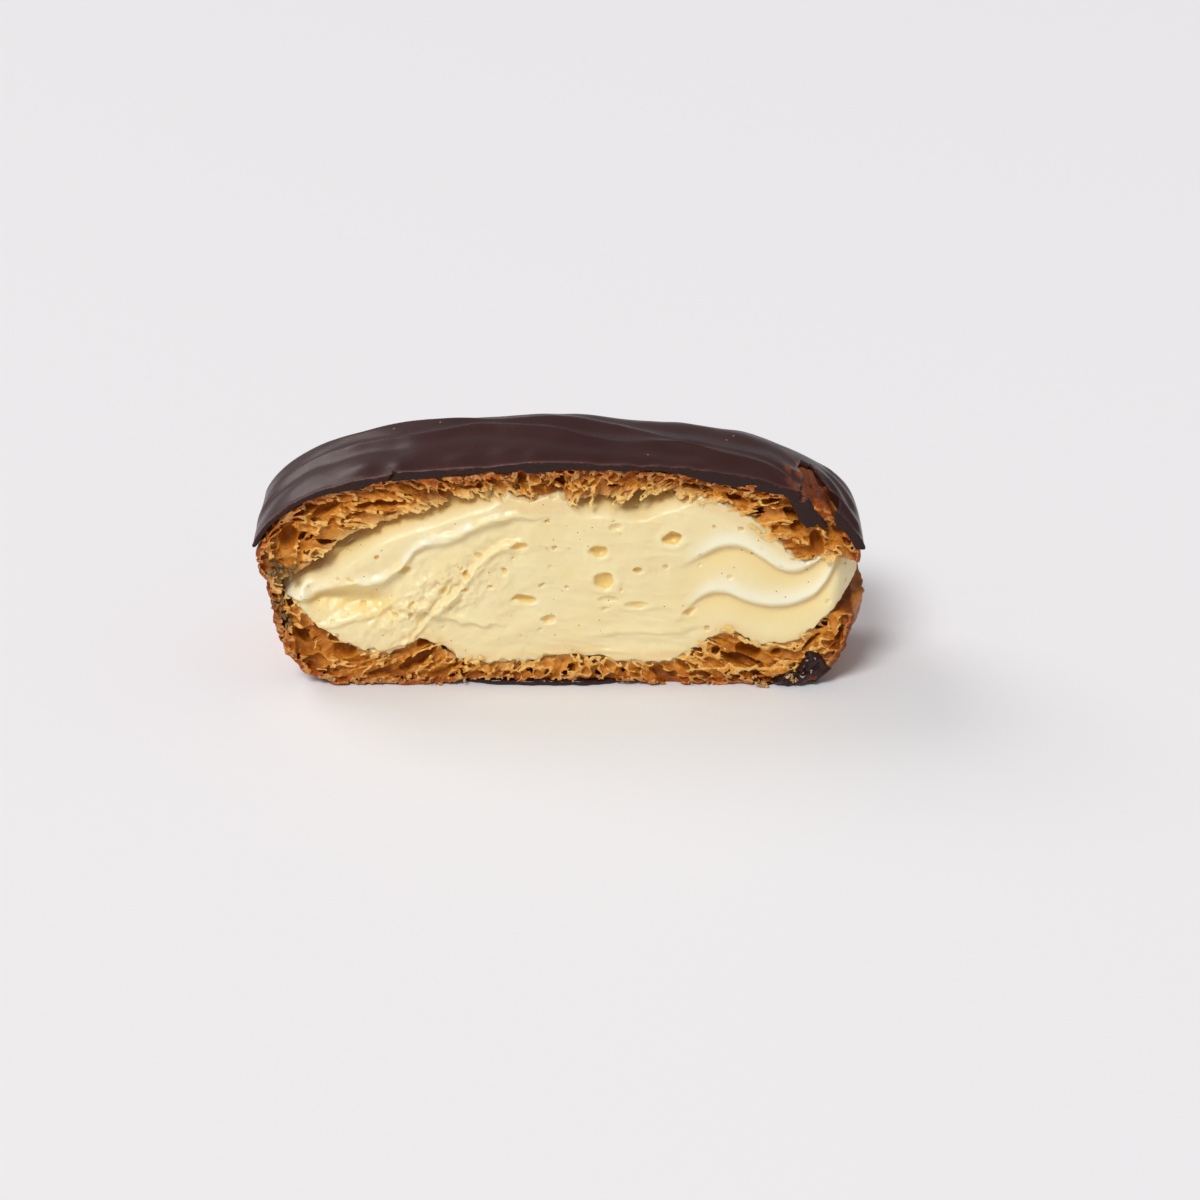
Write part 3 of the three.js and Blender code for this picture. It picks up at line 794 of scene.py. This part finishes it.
def tone_cream(piece, p, front):
    """Stores the cream's painted light: painted shade at its rim beside the crumb, a painted highlight on the
    crests, and painted golden shade in its holes and hollows.
    """
    x, y, z = p
    # Painted shade: the cream darkens to gold where it meets the crumb above and below.
    rim = np.minimum(cream_top(x) - z, z - cream_bottom(x))
    paint(piece, "rim", 1 - ease(rim, 0.3, 2.2))
    # Painted highlight: a pale band above each furrow of the rolls and along the upper torn edge.
    rolls = between(x, 26, 34, 58, 62)
    above = [z - furrow(x) for furrow in (upper_furrow, lower_furrow)]
    crest = largest(*(hump(v, 2.2, 2.2) for v in above)) * rolls
    patchy = ease(noise([x, z, 0 * x], 3.5, 350), -0.5, 0.3)
    torn = hump(upper_tear(x) - z, -0.6, 1.7) * (1 - ease(x, -18, -10)) * patchy
    paint(piece, "crest", np.maximum(crest, 0.8 * torn))
    # Painted golden shade: in the bubbles, the scoop, under the lid, where the front lies far back, and under
    # the lips of the rolls.
    under_lid = 0.9 * ease(z - tuck_line(x), 0.6, 3.6)
    hollow = 0.7 * scoop(x, z, 20.4, 3.2)
    sunk = 0.35 * ease(front, 1.5, 6.0)
    below = largest(*(np.exp(-np.clip(0.2 - v, 0, None) / 2.2) * (1 - ease(v, 0.3, 1.0)) for v in above))
    holes = hump(cream_holes(p, front), 0, 0.25) * ease(y - CUT_Y - front, 0.15, 0.9)
    paint(piece, "golden_shade", largest(holes, under_lid, hollow, sunk, below * rolls))


# ---------------------------------------------------------------- chocolate


def outline_distance(x, z, outline):
    """Millimetres outside a closed outline in the x and z given, negative inside it."""
    nearest = np.full(np.broadcast(x, z).shape, np.inf)
    inside = np.zeros(nearest.shape, dtype=bool)
    for (ax, az), (bx, bz) in zip(outline, outline[1:] + outline[:1]):
        dx, dz = bx - ax, bz - az
        t = np.clip(((x - ax) * dx + (z - az) * dz) / (dx * dx + dz * dz), 0, 1)
        nearest = np.minimum(nearest, np.hypot(x - ax - t * dx, z - az - t * dz))
        if dz:
            crosses = ((z >= az) != (z >= bz)) & (x < ax + (z - az) / dz * dx)
            inside = inside ^ crosses
    return np.where(inside, -nearest, nearest)


def soft_max(a, b, blend):
    """The larger of two distances, with the edge between them rounded over about blend millimetres."""
    share = np.clip(0.5 + 0.5 * (a - b) / blend, 0, 1)
    return b + (a - b) * share + blend * share * (1 - share)


def lengthwise(x):
    """Coordinates for noise that changes with x alone."""
    return [x, 0 * x, 0 * x]


def glaze_folds(x, y):
    """How far the chocolate stands out: long soft folds across it, and swellings beside the cut."""
    p = [x, y, 0 * x]
    first = y - main_fold(x) + 0.7 * noise(p, 9, 401)
    second = y - high_fold(x) + 0.9 * noise(p, 11, 402)
    ridge = 1.9 * np.exp(-np.sqrt(first**2 + 0.4) / 1.7)
    ridge = ridge - 0.8 * hump(first, 3.8, 2.6) - 0.4 * hump(first, -3.6, 2.2)
    ridge = ridge * (1 - ease(x, 48, 57)) * (0.75 + 0.5 * noise(lengthwise(x), 14, 406))
    upper = 1.25 * np.exp(-np.sqrt(second**2 + 0.5) / 2.0) - 0.5 * hump(second, 4.6, 3)
    cap = ease(x, 57, 61) * 0.28 * np.sin((x * 0.5 + y) * 0.9 + 4.0 * noise(p, 11, 405))
    swell = 0.45 * layered_noise(p, 15, 403, 2) + 0.12 * noise(p, 4.5, 404)
    for middle_x, middle_y, high, long, wide in GLAZE_SWELLS:
        swell = swell + high * hump(x, middle_x, long) * hump(y, middle_y, wide)
    return ridge + upper + swell + cap


def glaze_solid():
    """The chocolate over the lid, with its folds, its cut band, the crack and the bare patch."""
    low = [-HALF_LENGTH - 1.5, CUT_Y, GLAZE_EDGE_Z - 1.5]
    high = [HALF_LENGTH + 1.5, -CUT_Y + 1.0, CROWN_Z + 2.0]
    samples = Samples(low, high, GLAZE_COARSEST)
    x, y, z = samples.grid
    depth = y - CUT_Y
    near_cut = np.exp(-np.clip(depth, 0, None) / 7)
    thick = GLAZE_MEAN + (glaze_thickness(x) - GLAZE_MEAN) * near_cut
    broken = 0.3 + 0.25 * ease(x, -19, -16) * (1 - ease(x, -6, -3))
    flakes = broken * layered_noise(lengthwise(x), 1.6, 410, 2) * near_cut
    crust = growth_distance(loaf_ratio, samples)
    inner = crust - GLAZE_GAP + (thick - GLAZE_MEAN) + flakes
    outer = crust - GLAZE_GAP - GLAZE_MEAN
    flat_x, flat_y = x[:, :, 0], y[:, :, 0]
    folds = glaze_folds(flat_x, flat_y)[:, :, None]
    lip = 0.22 * hump(depth, 0, 0.8) * (1 + 0.6 * noise(lengthwise(x), 3, 411))
    outer = outer - folds * ease(z, 33.5, 38) - lip
    shell = soft_max(outer, -inner, 0.25)
    edge = GLAZE_EDGE_Z + 0.9 * np.sin(x / 5.5) + 0.5 * np.sin(x / 2.4 + 1) + 0.6 * np.sin(y / 3.1)
    shell = soft_max(shell, edge - z, 0.7)
    crack = 0.8 - np.hypot(depth, (x + 35.2 + 0.25 * depth - 0.7 * (z - 50)) * 2)
    ragged = 0.05 + 0.12 * noise([x, 0 * x, z], 1.3, 412)
    shell = soft_max(shell, np.maximum(ragged - depth, np.minimum(crack, 1.0)), 0.15)
    wobble = 2.2 * layered_noise([flat_x, flat_y / 1.6, 0 * flat_x], 2.6, 413, 3)
    bare = (outline_distance(flat_x, flat_y, PATCH_OUTLINE) + wobble)[:, :, None]
    shell = soft_max(shell, -bare, 0.3)
    tongue = np.hypot(y - CUT_Y - 0.9, (x - 53.2 + 0.62 * (z - 41.8)) * 0.7)
    frayed = 1.1 * layered_noise([x, 0 * x, z], 2.0, 414, 3) + 0.4 * noise([x, 0 * x, z], 0.8, 416)
    shell = np.minimum(shell, np.maximum(tongue - 1.5, np.abs(z - 42.2) - 4.0) + frayed)
    shell = np.maximum(shell, CUT_Y + 0.02 - y)
    piece = solid_from_field("chocolate_glaze_set", samples, shell, SMALLEST_FLAKE)
    spots = places_of(piece)
    i, j, k = samples.nearest(spots)
    tone_glaze(piece, spots, outer[i, j, k], bare[i, j, 0])
    return piece


def tone_glaze(piece, spots, outer, bare):
    """Stores where the chocolate is cut, where its lip is, and where it is only a film."""
    x, y = spots[:, 0], spots[:, 1]
    behind = y - CUT_Y
    paint(piece, "cut", (1 - ease(behind, 0.05, 0.45)) * ease(-outer, 0.1, 0.3))
    # The lip: a lighter line along the cut edge, partly its own colour, partly a painted highlight.
    paint(piece, "lip", (1 - ease(behind, 0.25, 0.8)) * hump(outer, 0, 0.22))
    streaks = layered_noise([x, y / 3, 0 * x], 1.5, 415, 2)
    paint(piece, "film", (1 - ease(bare, 0.2, 3.4)) * ease(streaks, -0.2, 0.35) * (x < 57))


def drip_solid():
    """The lump of chocolate that set against the foot of the cut."""
    samples = Samples(DRIP_LOW - 1, DRIP_HIGH + 1, STEP)
    x, y, z = samples.grid
    rough = 0.35 * layered_noise([x, y, z], 2.6, 501, 2)
    rim = outline_distance(x, z, DRIP_OUTLINE)
    face = DRIP_LOW[1] - 0.4 - y
    folds = 1.3 * layered_noise([(x + z) / 2.6, 0 * x, (z - x) / 1.2], 1.5, 502, 2)
    shape = soft_max(soft_max(rim + rough, face + 0.5 + folds, 1.2), y - DRIP_HIGH[1], 0.5)
    shape = np.maximum(shape, DRIP_LOW[2] - z)
    return solid_from_field("chocolate_drip_set", samples, shape)


def smear_solid():
    """The thin chocolate that sits in the arch under the base."""
    low, high = box_mm("chocolate_smear")
    samples = Samples(low - 1, high + 1, STEP)
    x, y, z = samples.grid
    middle, half = (low + high) / 2, (high - low) / 2
    p = [x, y, 0 * x]
    ratio = (np.abs((x - middle[0]) / half[0]) ** 3 + np.abs((y - middle[1]) / half[1]) ** 3) ** (1 / 3)
    rim = (ratio - 1) * half[1] + 0.5 * layered_noise(p, 3, 511, 2)
    top = z - high[2] + 0.35 + 0.3 * layered_noise(p, 4, 512, 2)
    shape = soft_max(soft_max(rim, top, 0.5), low[2] - z, 0.1)
    return solid_from_field("chocolate_smear_set", samples, shape)


# ---------------------------------------------------------------- crumbs and specks


def loose_crumb_spots(rng):
    """Places and sizes for the crumbs along the foot of the cut and in the heaps on the chocolate."""
    spots = []
    for _ in range(24):
        x = rng.uniform(-52, 44)
        spots.append((x, CUT_Y + rng.uniform(0.0, 0.6), rng.uniform(0.7, 2.2), rng.uniform(0.4, 0.8)))
    for x, z in CRUMB_HEAPS:
        for _ in range(16):
            dx, dz = rng.normal(0, 0.6, 2)
            y = DRIP_LOW[1] + rng.uniform(-0.5, 0.0)
            spots.append((x + dx, y, max(0.3, z + dz), rng.uniform(0.4, 0.8)))
    return spots


def nut_fleck_spots(rng):
    """Places and sizes for the flecks in the torn end."""
    spots = []
    for x, z, count in FLECK_HEAPS:
        for _ in range(count):
            dx, dz = rng.normal(0, 0.9, 2)
            spots.append((x + dx, CUT_Y + rng.uniform(0.1, 1.1), z + 1.4 * dz, rng.uniform(0.5, 1.4)))
    return spots


def scattered(name, spots, rng):
    """One mesh of small uneven lumps. Each spot is x, y, z and a size, in millimetres."""
    lumps = []
    for x, y, z, size in spots:
        deselect()
        bpy.ops.mesh.primitive_ico_sphere_add(subdivisions=2, radius=size * MM / 2)
        lump = bpy.context.active_object
        rows = places_of(lump)
        rows *= 1 + 0.28 * rng.standard_normal((len(rows), 1)).clip(-1.5, 1.5)
        rows *= rng.uniform(0.6, 1.25, 3)
        put_places(lump, rows + np.array([x, y, z]))
        lumps.append(lump)
    deselect()
    for lump in lumps:
        lump.select_set(True)
    bpy.context.view_layer.objects.active = lumps[0]
    bpy.ops.object.join()
    piece = bpy.context.active_object
    piece.name = piece.data.name = name
    return piece


# ---------------------------------------------------------------- finishes


def srgb(red, green, blue):
    """A colour in the linear numbers that sockets take, from 8-bit ones."""
    def linear(c):
        c /= 255
        return c / 12.92 if c <= 0.04045 else ((c + 0.055) / 1.055) ** 2.4

    return (linear(red), linear(green), linear(blue), 1.0)


def node(tree, kind, inputs=None, **settings):
    """Adds a node. An input takes a value or the socket to link it to."""
    made = tree.nodes.new(kind)
    for key, value in settings.items():
        setattr(made, key, value)
    for key, value in (inputs or {}).items():
        if isinstance(value, bpy.types.NodeSocket):
            tree.links.new(value, made.inputs[key])
        else:
            made.inputs[key].default_value = value
    return made


def mixed(tree, share, first, second):
    """The colour between two."""
    return node(tree, "ShaderNodeMix", {0: share, 6: first, 7: second}, data_type="RGBA").outputs[2]


def ranged(tree, value, low, high, to_low=0.0, to_high=1.0):
    """A value moved from one range to another, and kept within it."""
    numbers = {"Value": value, "From Min": low, "From Max": high, "To Min": to_low, "To Max": to_high}
    return node(tree, "ShaderNodeMapRange", numbers).outputs["Result"]


def calculated(tree, operation, first, second):
    """Two values through one sum."""
    return node(tree, "ShaderNodeMath", {0: first, 1: second}, operation=operation).outputs[0]


def stored(tree, name, full=1.0):
    """A number that the mesh carries for each vertex, from 0 up to full."""
    level = node(tree, "ShaderNodeAttribute", attribute_name=name).outputs["Fac"]
    return level if full == 1.0 else ranged(tree, level, 0.0, 1.0, 0.0, full)


def pattern_group(name, result, settings):
    """An empty node group: its tree, what it is given, and the place and scale of its pattern."""
    tree = bpy.data.node_groups.new(name, "ShaderNodeTree")
    for key, value in settings.items():
        made = tree.interface.new_socket(name=key, in_out="INPUT", socket_type="NodeSocketFloat")
        made.default_value = value
    tree.interface.new_socket(name=result, in_out="OUTPUT", socket_type="NodeSocketFloat")
    given = tree.nodes.new("NodeGroupInput").outputs
    scale = calculated(tree, "DIVIDE", 1 / MM, given[0])
    place = tree.nodes.new("ShaderNodeTexCoord").outputs["Object"]
    return tree, given, {"Vector": place, "Scale": scale}


def mottle_group():
    """A node group: soft uneven patches, from 0 to 1."""
    settings = {"Size (mm)": 4.0, "Detail": 3.0, "Contrast": 2.0}
    tree, given, place = pattern_group("Mottle", "Patches", settings)
    cloud = node(tree, "ShaderNodeTexNoise", {**place, "Detail": given["Detail"]})
    level = calculated(tree, "SUBTRACT", cloud.outputs[0], 0.5)
    level = calculated(tree, "MULTIPLY", level, given["Contrast"])
    level = node(tree, "ShaderNodeMath", {0: level, 1: 0.5}, operation="ADD", use_clamp=True).outputs[0]
    node(tree, "NodeGroupOutput", {"Patches": level})
    return tree


def speck_group():
    """A node group: small round specks, 1 on a speck and 0 elsewhere."""
    tree, given, place = pattern_group("Specks", "Specks", {"Spacing (mm)": 4.0, "Speck size": 0.08})
    cells = node(tree, "ShaderNodeTexVoronoi", place)
    here = calculated(tree, "LESS_THAN", cells.outputs["Distance"], given["Speck size"])
    node(tree, "NodeGroupOutput", {"Specks": here})
    return tree


def patches(tree, size, detail=3.0, contrast=2.0):
    """The mottle group as a value."""
    group = bpy.data.node_groups.get("Mottle") or mottle_group()
    given = {"Size (mm)": size, "Detail": detail, "Contrast": contrast}
    return node(tree, "ShaderNodeGroup", given, node_tree=group).outputs["Patches"]


def specks(tree, spacing, size):
    """The speck group as a value."""
    group = bpy.data.node_groups.get("Specks") or speck_group()
    given = {"Spacing (mm)": spacing, "Speck size": size}
    return node(tree, "ShaderNodeGroup", given, node_tree=group).outputs["Specks"]


def new_material(name):
    """A material, its tree and its shader."""
    material = bpy.data.materials.new(name)
    material.use_nodes = True
    return material, material.node_tree, material.node_tree.nodes["Principled BSDF"]


def surface(tree, shader, colour, height=None, deep=0.2, **constants):
    """Feeds a shader its colour, its relief in millimetres, and its constants."""
    for key, value in constants.items():
        shader.inputs[key.replace("_", " ")].default_value = value
    if isinstance(colour, bpy.types.NodeSocket):
        tree.links.new(colour, shader.inputs["Base Color"])
    else:
        shader.inputs["Base Color"].default_value = colour
    if height is not None:
        bump = node(tree, "ShaderNodeBump", {"Height": height, "Distance": deep * MM, "Strength": 1.0})
        tree.links.new(bump.outputs["Normal"], shader.inputs["Normal"])


def choux_material():
    """Baked choux pastry: brown crust, pale and slightly see-through inside; painted shade in its holes,
    painted highlights on wall edges.
    """
    material, tree, shader = new_material("Baked choux pastry")
    baked = stored(tree, "baked")
    inside = mixed(tree, patches(tree, 5.0), srgb(238, 176, 84), srgb(218, 144, 42))
    inside = mixed(tree, patches(tree, 1.3, contrast=3.0), inside, srgb(196, 116, 16))
    crust = mixed(tree, patches(tree, 4.0, contrast=3.0), srgb(202, 104, 6), srgb(160, 74, 2))
    crust = mixed(tree, patches(tree, 1.1, contrast=3.0), crust, srgb(138, 64, 3))
    colour = mixed(tree, ranged(tree, baked, 0.3, 0.9), inside, crust)
    creamy = ranged(tree, stored(tree, "creamy"), 0.2, 1.0, 0.0, 0.85)
    colour = mixed(tree, creamy, colour, srgb(248, 212, 136))
    # Painted shade: spots deep in a hole are painted dark orange-brown, darker still near the crust.
    shadowed = mixed(tree, baked, srgb(166, 90, 12), srgb(106, 44, 2))
    colour = mixed(tree, stored(tree, "deep", 0.95), colour, shadowed)
    # Painted highlight: the torn edges of the cell walls are painted pale, less so near the crust.
    edge = ranged(tree, stored(tree, "edge"), 0.2, 1.0, 0.0, 0.68)
    torn = calculated(tree, "MULTIPLY", edge, ranged(tree, baked, 0.2, 0.9, 1.0, 0.55))
    colour = mixed(tree, torn, colour, srgb(252, 208, 128))
    outer = mixed(tree, patches(tree, 3.0, contrast=3.0), srgb(196, 126, 56), srgb(154, 90, 36))
    colour = mixed(tree, stored(tree, "outer"), colour, outer)
    colour = mixed(tree, stored(tree, "rind"), colour, srgb(112, 50, 18))
    colour = mixed(tree, stored(tree, "stained", 0.6), colour, srgb(120, 62, 32))
    grain = calculated(tree, "ADD", patches(tree, 0.9, 2.0, 2.0), patches(tree, 0.35, 3.0, 1.2))
    surface(tree, shader, colour, grain, 0.14, Roughness=0.38, Specular_IOR_Level=0.25,
            Subsurface_Weight=0.35, Subsurface_Radius=(1.0, 0.7, 0.4), Subsurface_Scale=0.8 * MM)
    return material


def choux_finish():
    """The pastry's material, made once for both halves."""
    return bpy.data.materials.get("Baked choux pastry") or choux_material()


def cream_material():
    """Vanilla pastry cream: pale, smooth and soft, with painted shade and painted highlights."""
    material, tree, shader = new_material("Vanilla pastry cream")
    colour = mixed(tree, patches(tree, 9.0, 2.0, 1.6), srgb(245, 230, 184), srgb(240, 221, 167))
    # Painted shade at the rim, where the cream meets the crumb.
    colour = mixed(tree, stored(tree, "rim", 0.35), colour, srgb(236, 198, 134))
    # Painted golden shade in the bubbles, hollows and furrows, and under the lid.
    colour = mixed(tree, stored(tree, "golden_shade", 0.75), colour, srgb(242, 206, 112))
    # Painted highlight on the crests.
    colour = mixed(tree, stored(tree, "crest", 0.55), colour, srgb(255, 250, 234))
    colour = mixed(tree, specks(tree, 2.4, 0.06), colour, srgb(150, 104, 52))
    grain = patches(tree, 0.9, 3.0, 1.5)
    surface(tree, shader, colour, grain, 0.05, Roughness=0.32, Subsurface_Weight=0.8,
            Subsurface_Radius=(1.0, 0.84, 0.6), Subsurface_Scale=2.0 * MM)
    return material


def dusted(tree, light, dark):
    """The colour of mottled chocolate with a few pale specks."""
    colour = mixed(tree, patches(tree, 12.0), light, dark)
    return mixed(tree, specks(tree, 5.5, 0.045), colour, srgb(150, 126, 112))


def chocolate_skin(tree, shader, colour, roughness):
    """The smooth skin of chocolate, with a faint grain."""
    tree.links.new(roughness, shader.inputs["Roughness"])
    surface(tree, shader, colour, patches(tree, 0.7, 4.0, 1.5), 0.02, Specular_IOR_Level=0.3)


def chocolate_material():
    """The chocolate that ran down and set with a gloss."""
    material, tree, shader = new_material("Set dark chocolate")
    colour = dusted(tree, srgb(50, 24, 20), srgb(42, 20, 17))
    chocolate_skin(tree, shader, colour, ranged(tree, patches(tree, 3.0), 0.0, 1.0, 0.14, 0.22))
    return material


def glaze_material():
    """The satin chocolate on top, darker and duller where it was cut, and thin beside the bare patch."""
    material, tree, shader = new_material("Glazed dark chocolate")
    cut = stored(tree, "cut")
    colour = dusted(tree, srgb(60, 31, 28), srgb(51, 26, 23))
    colour = mixed(tree, stored(tree, "film", 0.7), colour, srgb(150, 78, 42))
    colour = mixed(tree, ranged(tree, cut, 0.2, 0.9), colour, srgb(40, 18, 12))
    # A lighter reddish line along the cut edge: partly the thin edge's own colour, partly a painted
    # highlight.
    lip = ranged(tree, stored(tree, "lip"), 0.2, 0.9, 0.0, 0.55)
    colour = mixed(tree, lip, colour, srgb(104, 56, 46))
    roughness = ranged(tree, patches(tree, 3.0), 0.0, 1.0, 0.3, 0.38)
    roughness = node(tree, "ShaderNodeMix", {0: cut, 2: roughness, 3: 0.6}).outputs[0]
    chocolate_skin(tree, shader, colour, roughness)
    return material


def plain_material(name, colour, roughness):
    """One colour, slightly mottled."""
    material, tree, shader = new_material(name)
    darker = tuple(c * 0.4 for c in colour[:3]) + (1.0,)
    surface(tree, shader, mixed(tree, patches(tree, 1.0, contrast=3.0), colour, darker), Roughness=roughness)
    return material


# ---------------------------------------------------------------- settings


class EclairCrumb(bpy.types.PropertyGroup):
    """How the choux pastry is made."""

    seed: bpy.props.IntProperty(name="Crumb seed", description="Which crumb is grown", default=7, min=0)


class EclairStage(bpy.types.PropertyGroup):
    """How the scene is lit and seen."""

    room: bpy.props.FloatProperty(
        name="Room light", description="Strength of the even light from all round", default=0.31, min=0
    )
    key_light: bpy.props.FloatProperty(
        name="Key light", description="Strength of the soft light from the upper left", default=1.0, min=0
    )
    fill_light: bpy.props.FloatProperty(
        name="Fill light", description="Strength of the wide light from the front", default=2.1, min=0
    )
    lens: bpy.props.FloatProperty(
        name="Lens", description="Focal length of the camera", default=85.0, unit="CAMERA"
    )


# ---------------------------------------------------------------- operators


class ECLAIR_OT_lid(bpy.types.Operator):
    """Grow the upper half of the choux pastry"""

    bl_idname = "eclair.lid"
    bl_label = "Choux lid"

    def execute(self, context):
        seed = LID_SEED + context.scene.eclair_crumb.seed
        height = CROWN_Z - BELT_Z
        piece = crumb_solid("choux_lid_crumb", LID_LOW, LID_HIGH, height, LID_HOLES, lid_body, seed)
        finish_piece(piece, choux_finish(), "choux_lid", CRUMB_ANGLE)
        return {"FINISHED"}


class ECLAIR_OT_base(bpy.types.Operator):
    """Grow the lower half of the choux pastry"""

    bl_idname = "eclair.base"
    bl_label = "Choux base"

    def execute(self, context):
        seed = BASE_SEED + context.scene.eclair_crumb.seed
        piece = crumb_solid("choux_base_crumb", BASE_LOW, BASE_HIGH, BELT_Z, BASE_HOLES, base_body, seed)
        finish_piece(piece, choux_finish(), "choux_base", CRUMB_ANGLE)
        return {"FINISHED"}


class ECLAIR_OT_cream(bpy.types.Operator):
    """Fill the pastry with vanilla cream"""

    bl_idname = "eclair.cream"
    bl_label = "Vanilla cream"

    def execute(self, context):
        finish_piece(cream_solid(), cream_material(), "cream_filling")
        return {"FINISHED"}


class ECLAIR_OT_glaze(bpy.types.Operator):
    """Cover the lid with chocolate"""

    bl_idname = "eclair.glaze"
    bl_label = "Chocolate glaze"

    def execute(self, context):
        finish_piece(glaze_solid(), glaze_material(), "chocolate_glaze", CHOCOLATE_ANGLE)
        return {"FINISHED"}


class ECLAIR_OT_drips(bpy.types.Operator):
    """Add the chocolate that ran down to the foot"""

    bl_idname = "eclair.drips"
    bl_label = "Chocolate drip and smear"

    def execute(self, context):
        material = chocolate_material()
        finish_piece(drip_solid(), material, "chocolate_drip", CHOCOLATE_ANGLE)
        finish_piece(smear_solid(), material, "chocolate_smear", CHOCOLATE_ANGLE)
        return {"FINISHED"}


class ECLAIR_OT_crumbs(bpy.types.Operator):
    """Scatter the small loose crumbs"""

    bl_idname = "eclair.crumbs"
    bl_label = "Loose crumbs"

    def execute(self, context):
        rng = np.random.default_rng(CRUMBS_SEED)
        piece = scattered("loose_crumbs", loose_crumb_spots(rng), rng)
        material = plain_material("Loose choux crumb", srgb(226, 176, 116), 0.7)
        finish_piece(piece, material, None)
        piece = scattered("nut_flecks", nut_fleck_spots(rng), rng)
        material = plain_material("Dark nut fleck", srgb(142, 106, 54), 0.5)
        finish_piece(piece, material, None, FLECK_ANGLE)
        return {"FINISHED"}


class ECLAIR_OT_stage(bpy.types.Operator):
    """Set up the floor, the lights and the camera"""

    bl_idname = "eclair.stage"
    bl_label = "Stage"

    def execute(self, context):
        settings = context.scene.eclair_stage
        material, tree, shader = new_material("Pale floor")
        surface(tree, shader, srgb(240, 239, 240), Roughness=0.6)
        deselect()
        bpy.ops.mesh.primitive_plane_add(size=FLOOR_SIZE)
        floor = context.active_object
        floor.name = "stage_floor"
        floor.data.materials.append(material)
        world = bpy.data.worlds.new("Soft room")
        context.scene.world = world
        world.use_nodes = True
        background = world.node_tree.nodes["Background"]
        background.inputs["Color"].default_value = (0.97, 0.96, 1.0, 1.0)
        background.inputs["Strength"].default_value = settings.room
        key = soft_sun("Key light", (-0.6, 0.5, 0.62), 34, settings.key_light)
        key.data.color = (1.0, 0.94, 0.93)
        soft_sun("Front fill", (-0.3, -0.6, 0.75), 22, settings.fill_light)
        place_camera(context, settings.lens)
        context.scene.view_settings.view_transform = "Standard"
        return {"FINISHED"}


def soft_sun(name, towards, width, strength):
    """An even light from one direction, as soft as a studio box that is width degrees across."""
    deselect()
    bpy.ops.object.light_add(type="SUN", location=towards)
    light = bpy.context.active_object
    light.name = light.data.name = name
    light.rotation_euler = Vector(towards).to_track_quat("Z", "Y").to_euler()
    light.data.angle = math.radians(width)
    light.data.energy = strength
    return light


def place_camera(context, lens):
    """Looks at the cut face from in front and above."""
    deselect()
    bpy.ops.object.camera_add(location=CAMERA_PLACE, rotation=(math.radians(CAMERA_TILT), 0, 0))
    camera = context.active_object
    camera.name = camera.data.name = "Camera"
    camera.data.lens = lens
    camera.data.sensor_width = 36.0
    camera.data.dof.use_dof = False
    context.scene.camera = camera


class ECLAIR_PT_panel(bpy.types.Panel):
    """The eclair's settings and steps"""

    bl_idname = "ECLAIR_PT_panel"
    bl_label = "Chocolate eclair"
    bl_space_type = "VIEW_3D"
    bl_region_type = "UI"
    bl_category = "Eclair"

    def draw(self, context):
        for settings in (context.scene.eclair_crumb, context.scene.eclair_stage):
            column = self.layout.column(align=True)
            for name in settings.__annotations__:
                column.prop(settings, name)
        for operator in STEPS:
            self.layout.operator(operator.bl_idname)


STEPS = (ECLAIR_OT_lid, ECLAIR_OT_base, ECLAIR_OT_cream, ECLAIR_OT_glaze, ECLAIR_OT_drips, ECLAIR_OT_crumbs,
         ECLAIR_OT_stage)
CLASSES = (EclairCrumb, EclairStage) + STEPS + (ECLAIR_PT_panel,)


def register():
    """Adds the classes and the scene's settings."""
    for cls in CLASSES:
        bpy.utils.register_class(cls)
    bpy.types.Scene.eclair_crumb = bpy.props.PointerProperty(type=EclairCrumb)
    bpy.types.Scene.eclair_stage = bpy.props.PointerProperty(type=EclairStage)


def unregister():
    """Takes them away again."""
    del bpy.types.Scene.eclair_stage
    del bpy.types.Scene.eclair_crumb
    for cls in reversed(CLASSES):
        bpy.utils.unregister_class(cls)


def main():
    """Runs every step in order."""
    register()
    deselect()
    bpy.ops.eclair.lid()
    bpy.ops.eclair.base()
    bpy.ops.eclair.cream()
    bpy.ops.eclair.glaze()
    bpy.ops.eclair.drips()
    bpy.ops.eclair.crumbs()
    bpy.ops.eclair.stage()


if __name__ == "__main__":
    main()
